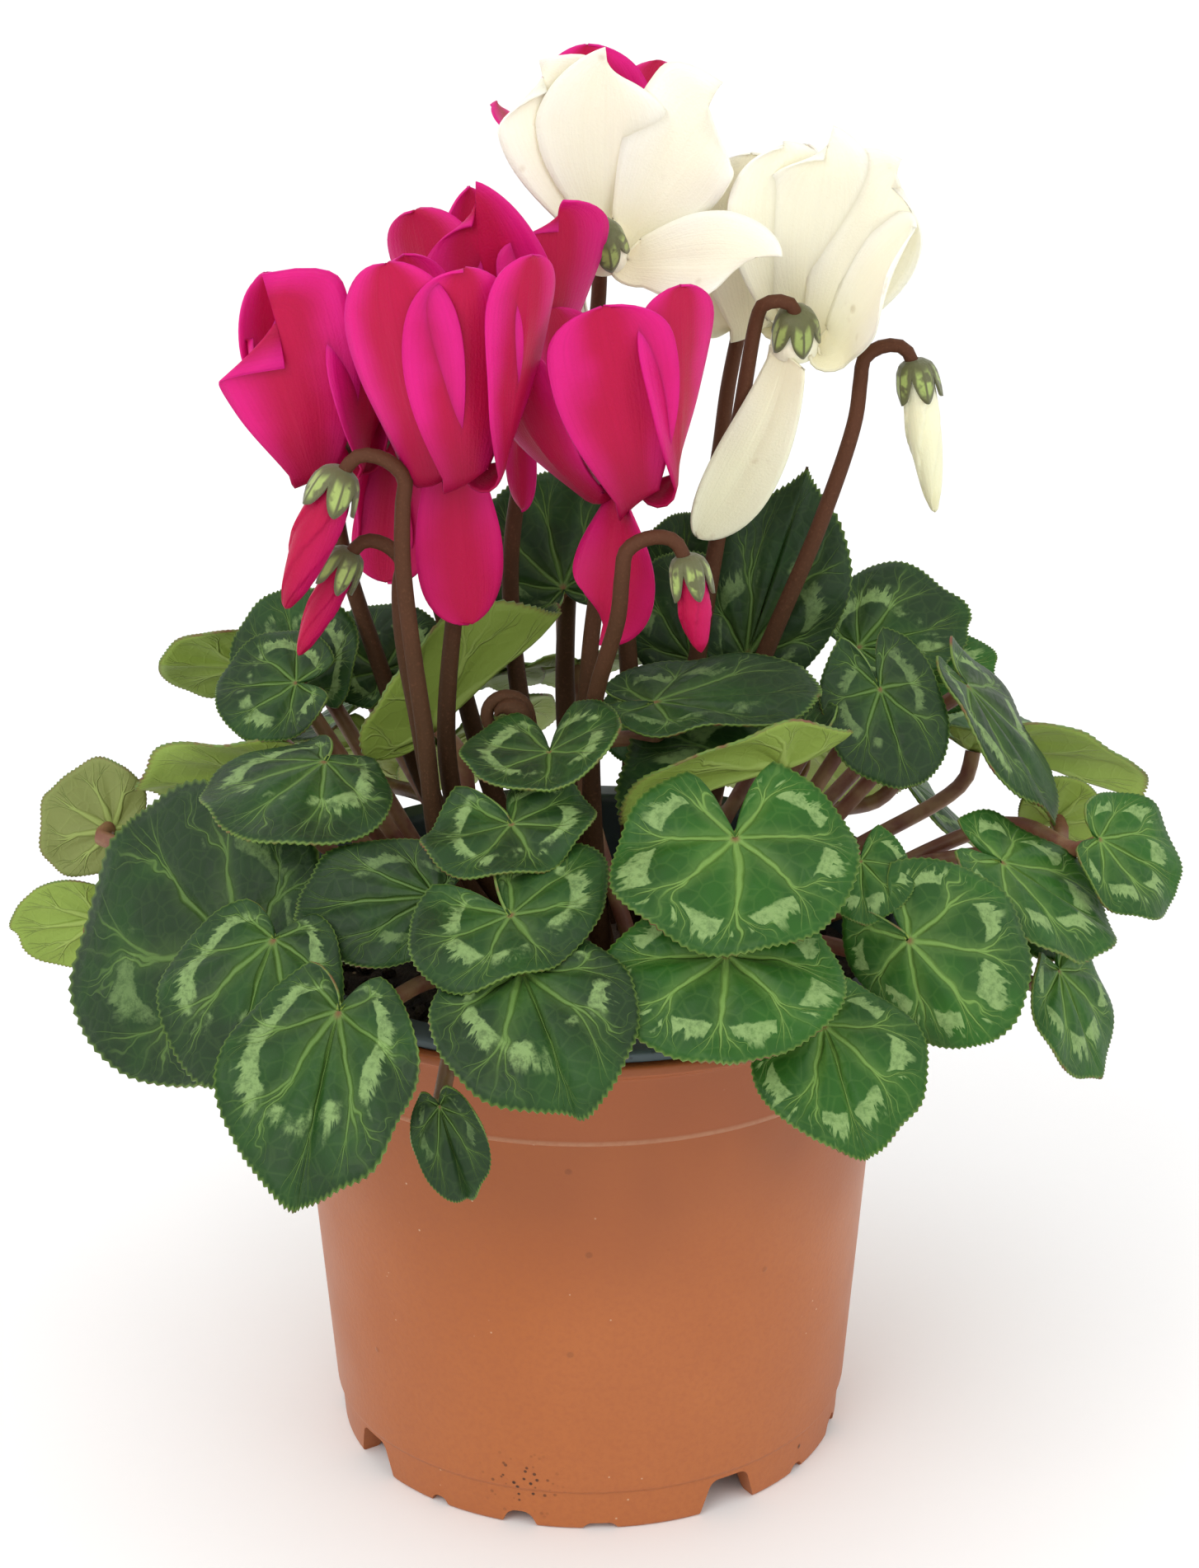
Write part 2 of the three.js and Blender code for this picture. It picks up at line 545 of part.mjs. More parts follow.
function petalGeometry(mouth, axis, petal) {
  const sections = petalSections(mouth, axis, petal, PETAL_STATIONS);
  const tip = sections.pop();
  const points = sections.flatMap(({ centre, across, inward, lean, half, cup }) => [-1, 0, 1].map((x) => (
    centre.clone().addScaledVector(across, half * x).addScaledVector(lean, x).addScaledVector(inward, cup * x * x)
  )));
  points[points.length - 2] = tip.centre;
  const skin = [];
  for (let i = 0; i < sections.length - 1; i += 1) {
    for (let k = 0; k < 2; k += 1) {
      const a = 3 * i + k;
      skin.push([a, a + 1, a + 3], [a + 1, a + 4, a + 3]);
    }
  }
  const last = 3 * (sections.length - 1);
  const rightEdge = sections.map((_, i) => last + 2 - 3 * i);
  const leftEdge = sections.map((_, i) => 3 * i);
  const rim = [...rightEdge, 1, ...leftEdge, last + 1];
  return sheet(points, skin, rim, PETAL, 0.5);
}

function throatGeometry(mouth, axis) {
  const body = lathe([[0, -1.2], [4.6, -1.2], [4.4, 1.5], [3.2, THROAT_HEIGHT], [0, THROAT_HEIGHT]], 8);
  return standOn(body, mouth, axis);
}

function standOn(geometry, foot, axis) {
  const turn = new THREE.Quaternion().setFromUnitVectors(new THREE.Vector3(0, 0, 1), point(axis).normalize());
  return geometry.applyQuaternion(turn).translate(...foot);
}

function bloomGeometry({ mouth, axis, petals }) {
  return join([throatGeometry(mouth, axis), ...petals.map((petal) => petalGeometry(mouth, axis, petal))]);
}

// A bud is a long twisted cone, hanging from its calyx.

function budGeometry({ mouth, axis, bud }) {
  const [length, radius] = bud;
  const body = lathe([
    [0, -length],
    [radius * 0.28, -length + 1],
    [radius * 0.72, -length * 0.6],
    [radius, -length * 0.25],
    [radius * 0.9, 0],
    [3.4, THROAT_HEIGHT],
    [0, THROAT_HEIGHT],
  ], 8);
  return standOn(body, mouth, axis);
}

// The stalk of a flower or bud: up from the corm, over in a hook, and down to the neck with its five sepals.

function stalkPath({ mouth, axis, stem, side, hook = HOOK }) {
  const { up, front, right } = flowerFrame(axis);
  const aside = front.clone().multiplyScalar(Math.cos(degrees(side)));
  aside.addScaledVector(right, Math.sin(degrees(side)));
  const neck = point(mouth).addScaledVector(up, THROAT_HEIGHT + GAP + 0.6);
  const bend = (out, rise) => neck.clone().addScaledVector(aside, out * hook).addScaledVector(up, rise);
  return new THREE.CatmullRomCurve3([
    ...stem.map(point), bend(2, 0), bend(1.75, 0.75 * hook), bend(1, 0.95 * hook + 0.6),
    bend(0.3, 0.72 * hook + 0.8), bend(0, 0),
  ]);
}

function stalkTube(flower) {
  const path = stalkPath(flower);
  const hooked = 1 - (HOOK_SHARE * (flower.hook ?? HOOK)) / path.getLength();
  const stations = [
    ...[0, 0.25, 0.5, 0.75, 1].map((t) => t * hooked),
    ...[0.2, 0.4, 0.6, 0.8, 1].map((t) => mix(hooked, 1, t)),
  ];
  return tube(path, stations, STALK_SIDES, (t) => mix(STALK_FOOT_RADIUS, STALK_NECK_RADIUS, t));
}

// The calyx is a cap over the throat, with five pointed sepals that lie down round it.

function calyxGeometry({ mouth, axis }) {
  const points = [new THREE.Vector3(0, 0, THROAT_HEIGHT + 2.5)];
  const ring = (radius, height, angle) => points.push(
    new THREE.Vector3(radius * Math.cos(angle), radius * Math.sin(angle), height),
  );
  const step = (2 * Math.PI) / SEPALS;
  for (let i = 0; i < SEPALS; i += 1) ring(4, THROAT_HEIGHT + 1.6, i * step);
  for (let i = 0; i < SEPALS; i += 1) {
    ring(6, THROAT_HEIGHT - 4.4, i * step);
    ring(5.3, THROAT_HEIGHT - 1, (i + 0.5) * step);
  }
  const skin = [];
  const rim = [];
  for (let i = 0; i < SEPALS; i += 1) {
    const [a, b] = [1 + i, 1 + ((i + 1) % SEPALS)];
    const [tip, valley] = [1 + SEPALS + 2 * i, 2 + SEPALS + 2 * i];
    const next = 1 + SEPALS + ((2 * i + 2) % (2 * SEPALS));
    skin.push([0, a, b], [a, tip, valley], [a, valley, b], [b, valley, next]);
    rim.unshift(valley, tip);
  }
  return standOn(sheet(points, skin, rim, SEPAL, 0), mouth, axis);
}

const FLOWERS = [
  { name: 'bloom_magenta_1', finish: 'magenta', mouth: [-22.5, -25, 213], axis: [-0.03, 0.05, 1], side: 152,
    stem: [[-6, -4, 103], [-22, -12, 128], [-27, -15, 150], [-25, -13.5, 182]],
    petals: [
      [-44, 167, 41, 23, 4, 16, 0.16, 0, 0, 0], [4, 172, 39, 22, 4, 0, 0.15, 4, 0.1, 0],
      [58, 168, 41, 21, 2, -14, 0.12, 0, 0, 0], [-134, 172, 38, 22, 2, 0, 0.2, 0, 0, 0],
      [-155, 4, 33, 16, 0, 0, 0.1, -8, 0, 0]] },
  { name: 'bloom_magenta_2', finish: 'magenta', mouth: [-14, 6, 222], axis: [0, 0.1, 1], side: 125,
    stem: [[-2, 6, 103], [-13, 14, 150], [-15, 18, 180], [-11, 17, 208]],
    petals: [
      [-72, 160, 34, 25, 6, 30, 0.2, 0, 0.2, 0], [-24, 168, 35, 26, 4, 0, 0.15, 0, 0.9, 4],
      [42, 170, 32, 25, 2, -12, 0.1, 0, -0.5, 3], [-145, 170, 35, 22, 2, 0, 0.3, 0, 0.9, 0],
      [165, 4, 28, 7, 0, 0, 0.3, 0, 0, 0]] },
  { name: 'bloom_magenta_3', finish: 'magenta', mouth: [-49.5, -5, 208.5], axis: [-0.08, 0.05, 1], side: 163,
    stem: [[-10, 2, 103], [-30, 10, 130], [-42.4, 14, 163], [-48.8, 14.5, 188]],
    petals: [
      [-12, 168, 31, 29, 2, 0, 0.1, -8, -1, 9], [62, 166, 33, 25, 4, -25, 0.15, 0, 0.3, 0],
      [-98, 170, 24, 17, 4, 0, 0.2, 0, 0, 0], [-142, 170, 35, 22, 4, 0, 0.2, 0, 0.6, 0],
      [114, 168, 31, 22, 2, 0, 0.2, 0, 0, 0]] },
  { name: 'bloom_magenta_4', finish: 'magenta', mouth: [9.5, -14, 206], axis: [-0.18, 0.05, 1], side: 145,
    stem: [[4, -8, 103], [0, -9, 130], [0, -6, 160], [4, -4, 190]],
    petals: [
      [2, 172, 37, 24, 2, 0, -0.15, 0, -0.4, 0], [62, 167, 38, 21, 2, -30, 0.1, 0, 0, 0],
      [-84, 138, 36, 22, 50, 40, 0.15, 0, 0, 0], [-132, 172, 34, 20, 2, 0, 0.2, 0, 0, 0],
      [-50, 8, 27, 17, 8, -60, 0.1, -24, 0, 4]] },
  { name: 'bloom_magenta_5', finish: 'magenta', mouth: [5, 35.5, 249], axis: [-0.05, 0.12, 1], side: -165,
    stem: [[4, 10, 103], [-4, 26, 140], [-2, 38, 190], [3, 41, 230]],
    petals: [
      [-112, 138, 26, 18, 14, 8, 0.15, 0, 0.2, 0], [-10, 168, 32, 22, 4, 0, 0.15, 0, 0.3, 0],
      [70, 170, 24, 20, 4, 0, 0.2, 0, 0, 0], [128, 168, 27, 22, 4, 0, 0.2, 0, 0, 0],
      [-66, 8, 22, 10, 0, 0, 0.15, 0, 0, 0]] },
  { name: 'bloom_magenta_6', finish: 'magenta', mouth: [-36.5, 7, 205], axis: [0.1, 0, 1], side: 180,
    stem: [[-8, 8, 103], [-20, 15, 135], [-27, 18, 162], [-34, 18.5, 192]],
    petals: [
      [0, 10, 23, 15, 0, 0, 0.2, 0, 0, 0], [-76, 6, 22, 11, 0, 0, 0.3, 0, 0, 0],
      [72, 8, 20, 14, 0, 0, 0.3, 0, 0, 0], [144, 3, 20, 10, 0, 0, 0.3, 0, 0, 0],
      [-144, 2, 20, 9, 0, 0, 0.3, 0, 0, 0]] },
  { name: 'bloom_white_1', finish: 'white', mouth: [3.8, 14.7, 243.6], axis: [-0.06, -1, 1], side: -95,
    stem: [[8, 6, 103], [9, 9, 150], [5, 8, 195], [-3, 10, 232]],
    petals: [
      [-161, 134, 30, 24, 4, 0, 0.1, 0, -0.6, -3], [174, 139, 31, 27, 2, 0, 0.12, 0, 1, 3],
      [132, 132, 29, 25, 4, 0, 0.1, 0, -0.8, 5], [76, 114, 25, 18, 4, 10, 0.1, -8, 0.7, 6],
      [-60, 10, 16, 12, 0, 0, 0.15, 0, 0, 0]] },
  { name: 'bloom_white_2', finish: 'white', mouth: [40.5, 9, 227], axis: [0.02, -0.55, 1], side: -97,
    stem: [[12, 2, 103], [20, 8, 150], [27, 8, 195], [30, 9, 212]],
    petals: [
      [-172, 154, 34, 23, 4, 0, 0.15, 0, 0.2, 0], [166, 156, 35, 27, 4, 0, 0.1, 0, 0.7, -3],
      [130, 152, 34, 24, 4, 0, 0.1, 0, -0.4, 3], [92, 158, 32, 25, 2, -16, 0.15, 0, 0.3, 0],
      [-20, 42, 38, 13, 0, -40, 0.1, -26, 0.1, 0]] },
  { name: 'bloom_white_3', finish: 'white', mouth: [33, 32, 226], axis: [-0.02, 0.1, 1], side: 180,
    stem: [[10, 12, 103], [18, 27, 150], [27, 38, 195], [29, 40, 210]],
    petals: [
      [-58, 172, 32, 17, 2, 20, 0.2, 0, 0, 0], [0, 168, 35, 23, 4, 0, 0.2, 0, 0.3, 0],
      [72, 165, 34, 22, 8, -20, 0.2, 0, 0, 0], [126, 168, 34, 20, 4, 0, 0.2, 0, 0, 0],
      [-126, 165, 34, 20, 4, 0, 0.2, 0, 0, 0]] },
];

const BUDS = [
  { name: 'bud_magenta_1', finish: 'magenta', mouth: [-48, -30, 206], axis: [0.42, 0, 1], side: 90,
    bud: [21, 4.4], hook: 6.4,
    stem: [[-8, -12, 103], [-26, -26, 128], [-31, -30, 165], [-34, -30, 195]] },
  { name: 'bud_magenta_2', finish: 'magenta', mouth: [-48, -22, 188], axis: [0.5, 0, 1], side: 90,
    bud: [15, 3.0], hook: 5.6,
    stem: [[-10, -10, 103], [-26, -18, 130], [-33, -21, 165], [-35, -22, 180]] },
  { name: 'bud_magenta_3', finish: 'magenta', mouth: [20, -29, 188], axis: [-0.15, 0, 1], side: -90,
    bud: [11, 3.2], hook: 6.2,
    stem: [[3, -10, 103], [1, -18, 140], [1.5, -23, 165], [6, -28, 184]] },
  { name: 'bud_white_1', finish: 'white', mouth: [65.5, 14, 214], axis: [-0.16, 0, 1], side: -90,
    bud: [23, 3.6], hook: 5.4,
    stem: [[14, 4, 103], [34, 8, 160], [46.4, 8, 192], [52.7, 11, 211.2]] },
];

const leafNames = [...new Set(LEAVES.map((entry) => entry.name))];
const leafMeshes = leafNames.map((name) => {
  const blades = LEAVES.filter((entry) => entry.name === name).map(leafGeometry);
  return { name, finish: 'leaf', geometry: blades.length > 1 ? join(blades) : blades[0] };
});

const stalkGeometry = join([
  cormGeometry(0),
  ...LEAVES.map(petioleGeometry),
  ...[...FLOWERS, ...BUDS].map(stalkTube),
  ...[...FLOWERS, ...BUDS].map(calyxGeometry),
]);

const PIECES = [
  { name: 'pot', finish: 'pot', geometry: potGeometry() },
  { name: 'pot_liner', finish: 'liner', geometry: linerGeometry() },
  { name: 'soil', finish: 'soil', geometry: soilGeometry() },
  { name: 'corm_with_stalks', finish: 'stalk', geometry: stalkGeometry },
  ...FLOWERS.map((flower) => ({ ...flower, geometry: bloomGeometry(flower) })),
  ...BUDS.map((flower) => ({ ...flower, geometry: budGeometry(flower) })),
  ...leafMeshes,
];

const cyclamen = new THREE.Group();
for (const { name, finish, geometry } of PIECES) {
  const mesh = new THREE.Mesh(geometry, new THREE.MeshStandardMaterial(FINISHES[finish]));
  mesh.name = name;
  cyclamen.add(mesh);
}

export default cyclamen;
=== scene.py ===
"""A cyclamen in flower, in its pot: the finished surfaces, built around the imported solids.

The tables hold millimetres in the part's own frame: +Z up, and the front towards -Y.
"""

import random
from math import atan2, copysign, cos, exp, hypot, pi, radians, sin, sqrt, tan

import bpy
from bpy.props import FloatProperty, FloatVectorProperty, PointerProperty
from bpy.types import Operator, Panel, PropertyGroup
from mathutils import Matrix, Quaternion, Vector, noise


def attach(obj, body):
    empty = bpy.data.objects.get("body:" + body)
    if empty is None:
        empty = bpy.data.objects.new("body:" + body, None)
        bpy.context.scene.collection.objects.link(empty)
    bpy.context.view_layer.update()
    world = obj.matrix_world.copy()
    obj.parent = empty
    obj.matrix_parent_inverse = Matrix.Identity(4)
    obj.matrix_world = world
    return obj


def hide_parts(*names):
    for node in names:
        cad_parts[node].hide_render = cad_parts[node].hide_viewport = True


bl_info = {
    "name": "Potted cyclamen",
    "version": (1, 0, 0),
    "blender": (4, 5, 0),
    "location": "3D View > Sidebar > Cyclamen",
    "description": "Builds the finished surfaces of a cyclamen in its pot",
    "category": "Object",
}

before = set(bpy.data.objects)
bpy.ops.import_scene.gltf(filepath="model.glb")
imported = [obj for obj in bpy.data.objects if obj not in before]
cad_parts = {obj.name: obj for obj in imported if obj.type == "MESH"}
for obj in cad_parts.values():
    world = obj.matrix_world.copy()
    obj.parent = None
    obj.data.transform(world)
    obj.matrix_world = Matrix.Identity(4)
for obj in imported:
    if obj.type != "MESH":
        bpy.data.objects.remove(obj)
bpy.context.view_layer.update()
MM = 0.001

# Pot, liner and soil, in millimetres

POT_WALL = 1.6
FOOT_RADIUS = 52
FOOT_INNER_RADIUS = 47
FOOT_HEIGHT = 8.6
WALL_FOOT_RADIUS = 53.4
BAND_HEIGHT = 89.5
BAND_RADIUS = 59.9
LIP_UNDERSIDE = 107.8
LIP_RADIUS = 70
POT_HEIGHT = 110.3
LINER_LIP_RADIUS = 68.6
LINER_LIP_HEIGHT = 2.4
LINER_WALL = 1.1
SEAT_GAP = 0.3
SOIL_LEVEL = 96
SOIL_MOUND = 1.5
DRAIN_HOLES = 6
DRAIN_RADIUS = 4
DRAIN_CIRCLE = 30

# Where soil has splashed the pot, in millimetres
SPLASH = (-14, -51.5, 10)

# Steps round the pot, its liner and the soil
POT_STEPS = 160
LINER_STEPS = 128
SOIL_STEPS = 96

# Notches in the foot, each quarter of the ring alike: middle and width in degrees, and depth.
FOOT_NOTCHES = [(-58, 13, 7.6), (-36, 4, 1.9), (-16, 7, 3.3), (2, 8, 1.5)]

# The plant, in millimetres

CORM_RADIUS = 25
CORM_TOP = 106
CORM_BOTTOM = 84
PETIOLE_RADIUS = 1.6
STEM_FOOT = 103
STALK_FOOT_RADIUS = 2.3
STALK_NECK_RADIUS = 1.3
HOOK = 3.7
SEPALS = 5
FOLD_RADIUS = 2.4
MOUTH_RADIUS = 4.2
THROAT_HEIGHT = 5.5
PETAL_FOOT_WIDTH = 8.5
PRIMARY_VEINS = 7

# Where the petioles leave the corm, and how high they pass over the liner's rim
CROWN_RADIUS = 21
CROWN_HEIGHT = CORM_TOP - 7
OVER_RIM = 119
PETIOLE_STEPS = 28

# How far a leaf at the back reaches outwards
BACK_REACH = 24

# Thickness of a blade in the solids, and of a blade, a petal and a sepal here
SOLID_BLADE = 0.8
FINE_BLADE = 0.55
FINE_PETAL = 0.45
FINE_SEPAL = 0.5


def polar(radius, angle, height):
    """The point at this radius and angle round the vertical axis."""
    return Vector((radius * cos(angle), radius * sin(angle), height))


def leaf(place, at, tip, face, wide, lobe, **form):
    """A leaf's junction, tip, facing (azimuth from the front and elevation), half widths and back lobe."""
    plain = {"point": 0.2, "fold": [5, 5], "curl": [-12, -12], "arch": 14, "ruffle": [0, 4, 0], "via": None}
    return {"place": place, "at": at, "tip": tip, "face": face, "wide": wide, "lobe": lobe, **plain, **form}


def behind(place, bearings, radius, height, tilt, swing):
    """A row of leaves round the back, each by its bearing from +X."""
    drop = BACK_REACH / tan(radians(tilt))
    return [leaf(place, polar(radius, radians(bearing), height),
                 polar(radius + BACK_REACH, radians(bearing), height - drop),
                 [90 + bearing + turn, tilt], [20, 20], 11, point=0.3)
            for bearing, turn in zip(bearings, swing)]


LEAVES = [
    leaf("left_1", [-45, -78, 126], [-52, -102, 98], [-12, 42], [19, 17], 9,
         point=0.55, fold=[8, 8], arch=22),
    leaf("left_2", [-58, -59, 132], [-65, -79, 110], [-25, 42], [21, 17], 8,
         point=0.35, curl=[-20, -50], arch=30, via=[-38, -40, 133]),
    leaf("left_3", [-66, -42, 120], [-90, -12, 137], [-38, 30], [26, 34], 18, point=0.3),
    leaf("left_4", [-28, -55.5, 139], [-54, -52.5, 135], [-15, 42], [12.5, 13], 6, point=0.1),
    leaf("front_1", [-12, -74.5, 132.3], [-2, -96, 113.4], [0, 48], [20, 18], 9, point=0.6, arch=36),
    leaf("front_2", [-14, -67, 140], [-6, -76, 134], [0, 58], [20, 21], 14,
         point=0.1, ruffle=[1.2, 4, 30]),
    leaf("front_3", [-14, -50, 151], [-9, -60, 146], [0, 62], [17, 16], 12,
         point=0.05, ruffle=[1.1, 5, 0]),
    leaf("front_4", [-7, -36, 160], [-7, -47, 156], [0, 70], [17, 15], 12, point=0.1, fold=[4, 32]),
    leaf("front_5", [25, -72, 134], [24, -89, 120], [0, 50], [23, 22], 11, point=0.15),
    leaf("front_6", [27, -60, 152], [28, -79, 137], [0, 52], [23, 22], 16, point=0.05),
    leaf("front_7", [43, -72, 120], [50, -90, 102], [10, 46], [16, 17], 9, point=0.5),
    leaf("front_young", [-27, -84, 110], [-22, -86, 92], [0, 10], [7, 7], 4,
         point=0.5, fold=[20, 20], via=[-22, -62, 122]),
    leaf("right_1", [60, -52, 128], [76, -60, 111], [25, 40], [16, 23], 14,
         point=0.1, fold=[-40, 5], curl=[-50, -12]),
    leaf("right_2", [80, -26, 133], [103, -24, 116], [60, 48], [17, 15], 12, point=0.3),
    leaf("right_3", [92, -26, 110], [100, -32, 90], [60, 30], [15, 15], 6, point=0.3),
    leaf("right_4", [100, -17, 134], [118, -10, 121], [45, 30], [13, 13], 6,
         point=0.2, via=[84, 6, 128]),
    leaf("right_5", [90, -6, 116], [100, -12, 106], [50, 50], [13, 13], 8),
    leaf("right_6", [75, 0, 160], [93, -7, 134], [75, 35], [14, 18], 10),
    leaf("right_7", [78, 18, 140], [115, 28, 125], [180, 80], [12.5, 20], 8,
         point=0.3, fold=[50, 30]),
    leaf("right_8", [95, 12, 126], [103, 10, 134], [170, 20], [10, 10], 6),
    leaf("right_9", [55, 20, 161], [78, 26, 165], [10, 45], [10, 17], 6),
    leaf("middle_1", [-30.3, -2, 151.9], [-3.8, 4, 173.7], [-98, 37], [18, 16], 14,
         point=0.3, fold=[62, 35]),
    leaf("middle_2", [-41, 19, 157], [-45, 29, 168], [0, 30], [14, 13], 8),
    leaf("middle_3", [13, -20, 164], [45, -22, 166], [0, 75], [11, 15], 11,
         ruffle=[2, 5, 40], via=[0.5, -13, 151.5]),
    leaf("middle_4", [38, -26, 153], [5.7, -34, 145.6], [180, 75], [25, 15], 14,
         point=0.6, fold=[46, 45]),
    leaf("middle_5", [57, -10, 163], [63, -20, 146], [10, 40], [13, 12], 12),
    leaf("middle_6", [51.5, -42, 140], [51.5, -51, 131], [10, 45], [9.5, 10], 8),
    leaf("upright_1", [32, 12, 162], [44, 20, 198], [0, 12], [16, 13], 6, point=1.2),
    leaf("upright_2", [21, 14, 161], [18, 21, 182], [0, 20], [12, 12], 6),
    leaf("upright_3", [-4.5, 26, 172], [-10, 36, 194], [0, 25], [17, 18], 6),
    leaf("left_5", [-50, -27, 155], [-66, -45, 148], [-10, 65], [22, 20], 8, fold=[-15, 5]),
    leaf("left_6", [-57, -4, 142], [-89, 1, 139], [180, 35], [15, 15], 10),
    leaf("left_7", [-96, 8, 127], [-109, 9, 135], [-160, 10], [13.5, 13.5], 5),
    leaf("left_8", [-99, 6, 108], [-118, 8, 105], [-170, 0], [10, 10], 5, point=0.3),
    leaf("left_9", [-57, -2, 162], [-73, 2, 159], [-20, 50], [13, 13], 8),
    leaf("left_10", [-56, 9, 158], [-62, 22, 174], [-30, 35], [13, 15], 8),
    leaf("left_11", [-70, 30, 154], [-87, 26, 157], [180, 35], [12, 12], 8),
    leaf("upright_4", [21, 28, 168], [20, 33, 186], [0, 20], [11, 11], 6),
    leaf("middle_7", [12, 0.8, 155], [9, -6.7, 146], [0, 50], [9, 9], 8),
    leaf("right_10", [68, 22, 153], [84, 26, 157], [20, 50], [9, 9], 6),
    *behind("back_left", [146, 126, 106], 80, 124, tilt=46, swing=[24, -24, 24]),
    *behind("back_right", [74, 54, 34], 80, 124, tilt=46, swing=[-24, 24, -24]),
    *behind("back_middle", [140, 116, 92, 68, 45], 58, 145, tilt=60, swing=[16, -16, 16, -16, 16]),
]


def flower(name, finish, mouth, axis, side, stem, petals=(), hook=HOOK, bud=None):
    """A bloom or bud: mouth, axis up its throat, side that the stalk hooks over, stalk points and petals.

    A petal is [phi, turn, length, width, bend, twist, cup, sway, point, slant], with every angle in degrees.
    Its tip is pointed at a point of 1 and a broad fan at -1, and slants by `slant` millimetres to each side.
    Zeros at the end of a petal are left out, and so is the height of a stalk's first point.
    """
    petals = [petal + [0] * (10 - len(petal)) for petal in petals]
    stem = [Vector((*stem[0], STEM_FOOT)), *map(Vector, stem[1:])]
    return {"name": name, "finish": finish, "mouth": mouth, "axis": axis, "side": side, "stem": stem,
            "petals": petals, "hook": hook, "bud": bud}


FLOWERS = [
    flower("bloom_magenta_1", "magenta", [-22.5, -25, 213], [-0.03, 0.05, 1], 152,
           [[-6, -4], [-22, -12, 128], [-27, -15, 150], [-25, -13.5, 182]],
           [[-44, 167, 41, 23, 4, 16, 0.16], [4, 172, 39, 22, 4, 0, 0.15, 4, 0.1],
            [58, 168, 41, 21, 2, -14, 0.12], [-134, 172, 38, 22, 2, 0, 0.2],
            [-155, 4, 33, 16, 0, 0, 0.1, -8]]),
    flower("bloom_magenta_2", "magenta", [-14, 6, 222], [0, 0.1, 1], 125,
           [[-2, 6], [-13, 14, 150], [-15, 18, 180], [-11, 17, 208]],
           [[-72, 160, 34, 25, 6, 30, 0.2, 0, 0.2], [-24, 168, 35, 26, 4, 0, 0.15, 0, 0.9, 4],
            [42, 170, 32, 25, 2, -12, 0.1, 0, -0.5, 3], [-145, 170, 35, 22, 2, 0, 0.3, 0, 0.9],
            [165, 4, 28, 7, 0, 0, 0.3]]),
    flower("bloom_magenta_3", "magenta", [-49.5, -5, 208.5], [-0.08, 0.05, 1], 163,
           [[-10, 2], [-30, 10, 130], [-42.4, 14, 163], [-48.8, 14.5, 188]],
           [[-12, 168, 31, 29, 2, 0, 0.1, -8, -1, 9], [62, 166, 33, 25, 4, -25, 0.15, 0, 0.3],
            [-98, 170, 24, 17, 4, 0, 0.2], [-142, 170, 35, 22, 4, 0, 0.2, 0, 0.6],
            [114, 168, 31, 22, 2, 0, 0.2]]),
    flower("bloom_magenta_4", "magenta", [9.5, -14, 206], [-0.18, 0.05, 1], 145,
           [[4, -8], [0, -9, 130], [0, -6, 160], [4, -4, 190]],
           [[2, 172, 37, 24, 2, 0, -0.15, 0, -0.4], [62, 167, 38, 21, 2, -30, 0.1],
            [-84, 138, 36, 22, 50, 40, 0.15], [-132, 172, 34, 20, 2, 0, 0.2],
            [-50, 8, 27, 17, 8, -60, 0.1, -24, 0, 4]]),
    flower("bloom_magenta_5", "magenta", [5, 35.5, 249], [-0.05, 0.12, 1], -165,
           [[4, 10], [-4, 26, 140], [-2, 38, 190], [3, 41, 230]],
           [[-112, 138, 26, 18, 14, 8, 0.15, 0, 0.2], [-10, 168, 32, 22, 4, 0, 0.15, 0, 0.3],
            [70, 170, 24, 20, 4, 0, 0.2], [128, 168, 27, 22, 4, 0, 0.2],
            [-66, 8, 22, 10, 0, 0, 0.15]]),
    flower("bloom_magenta_6", "magenta", [-36.5, 7, 205], [0.1, 0, 1], 180,
           [[-8, 8], [-20, 15, 135], [-27, 18, 162], [-34, 18.5, 192]],
           [[0, 10, 23, 15, 0, 0, 0.2], [-76, 6, 22, 11, 0, 0, 0.3],
            [72, 8, 20, 14, 0, 0, 0.3], [144, 3, 20, 10, 0, 0, 0.3],
            [-144, 2, 20, 9, 0, 0, 0.3]], hook=5.2),
    flower("bloom_white_1", "white", [3.8, 14.7, 243.6], [-0.06, -1, 1], -95,
           [[8, 6], [9, 9, 150], [5, 8, 195], [-3, 10, 232]],
           [[-161, 134, 30, 24, 4, 0, 0.1, 0, -0.6, -3], [174, 139, 31, 27, 2, 0, 0.12, 0, 1, 3],
            [132, 132, 29, 25, 4, 0, 0.1, 0, -0.8, 5], [76, 114, 25, 18, 4, 10, 0.1, -8, 0.7, 6],
            [-60, 10, 16, 12, 0, 0, 0.15]], hook=2.6),
    flower("bloom_white_2", "white", [40.5, 9, 227], [0.02, -0.55, 1], -97,
           [[12, 2], [20, 8, 150], [27, 8, 195], [30, 9, 212]],
           [[-172, 154, 34, 23, 4, 0, 0.15, 0, 0.2], [166, 156, 35, 27, 4, 0, 0.1, 0, 0.7, -3],
            [130, 152, 34, 24, 4, 0, 0.1, 0, -0.4, 3], [92, 158, 32, 25, 2, -16, 0.15, 0, 0.3],
            [-20, 42, 38, 13, 0, -40, 0.1, -26, 0.1]]),
    flower("bloom_white_3", "white", [33, 32, 226], [-0.02, 0.1, 1], 180,
           [[10, 12], [18, 27, 150], [27, 38, 195], [29, 40, 210]],
           [[-58, 172, 32, 17, 2, 20, 0.2], [0, 168, 35, 23, 4, 0, 0.2, 0, 0.3],
            [72, 165, 34, 22, 8, -20, 0.2], [126, 168, 34, 20, 4, 0, 0.2],
            [-126, 165, 34, 20, 4, 0, 0.2]]),
]

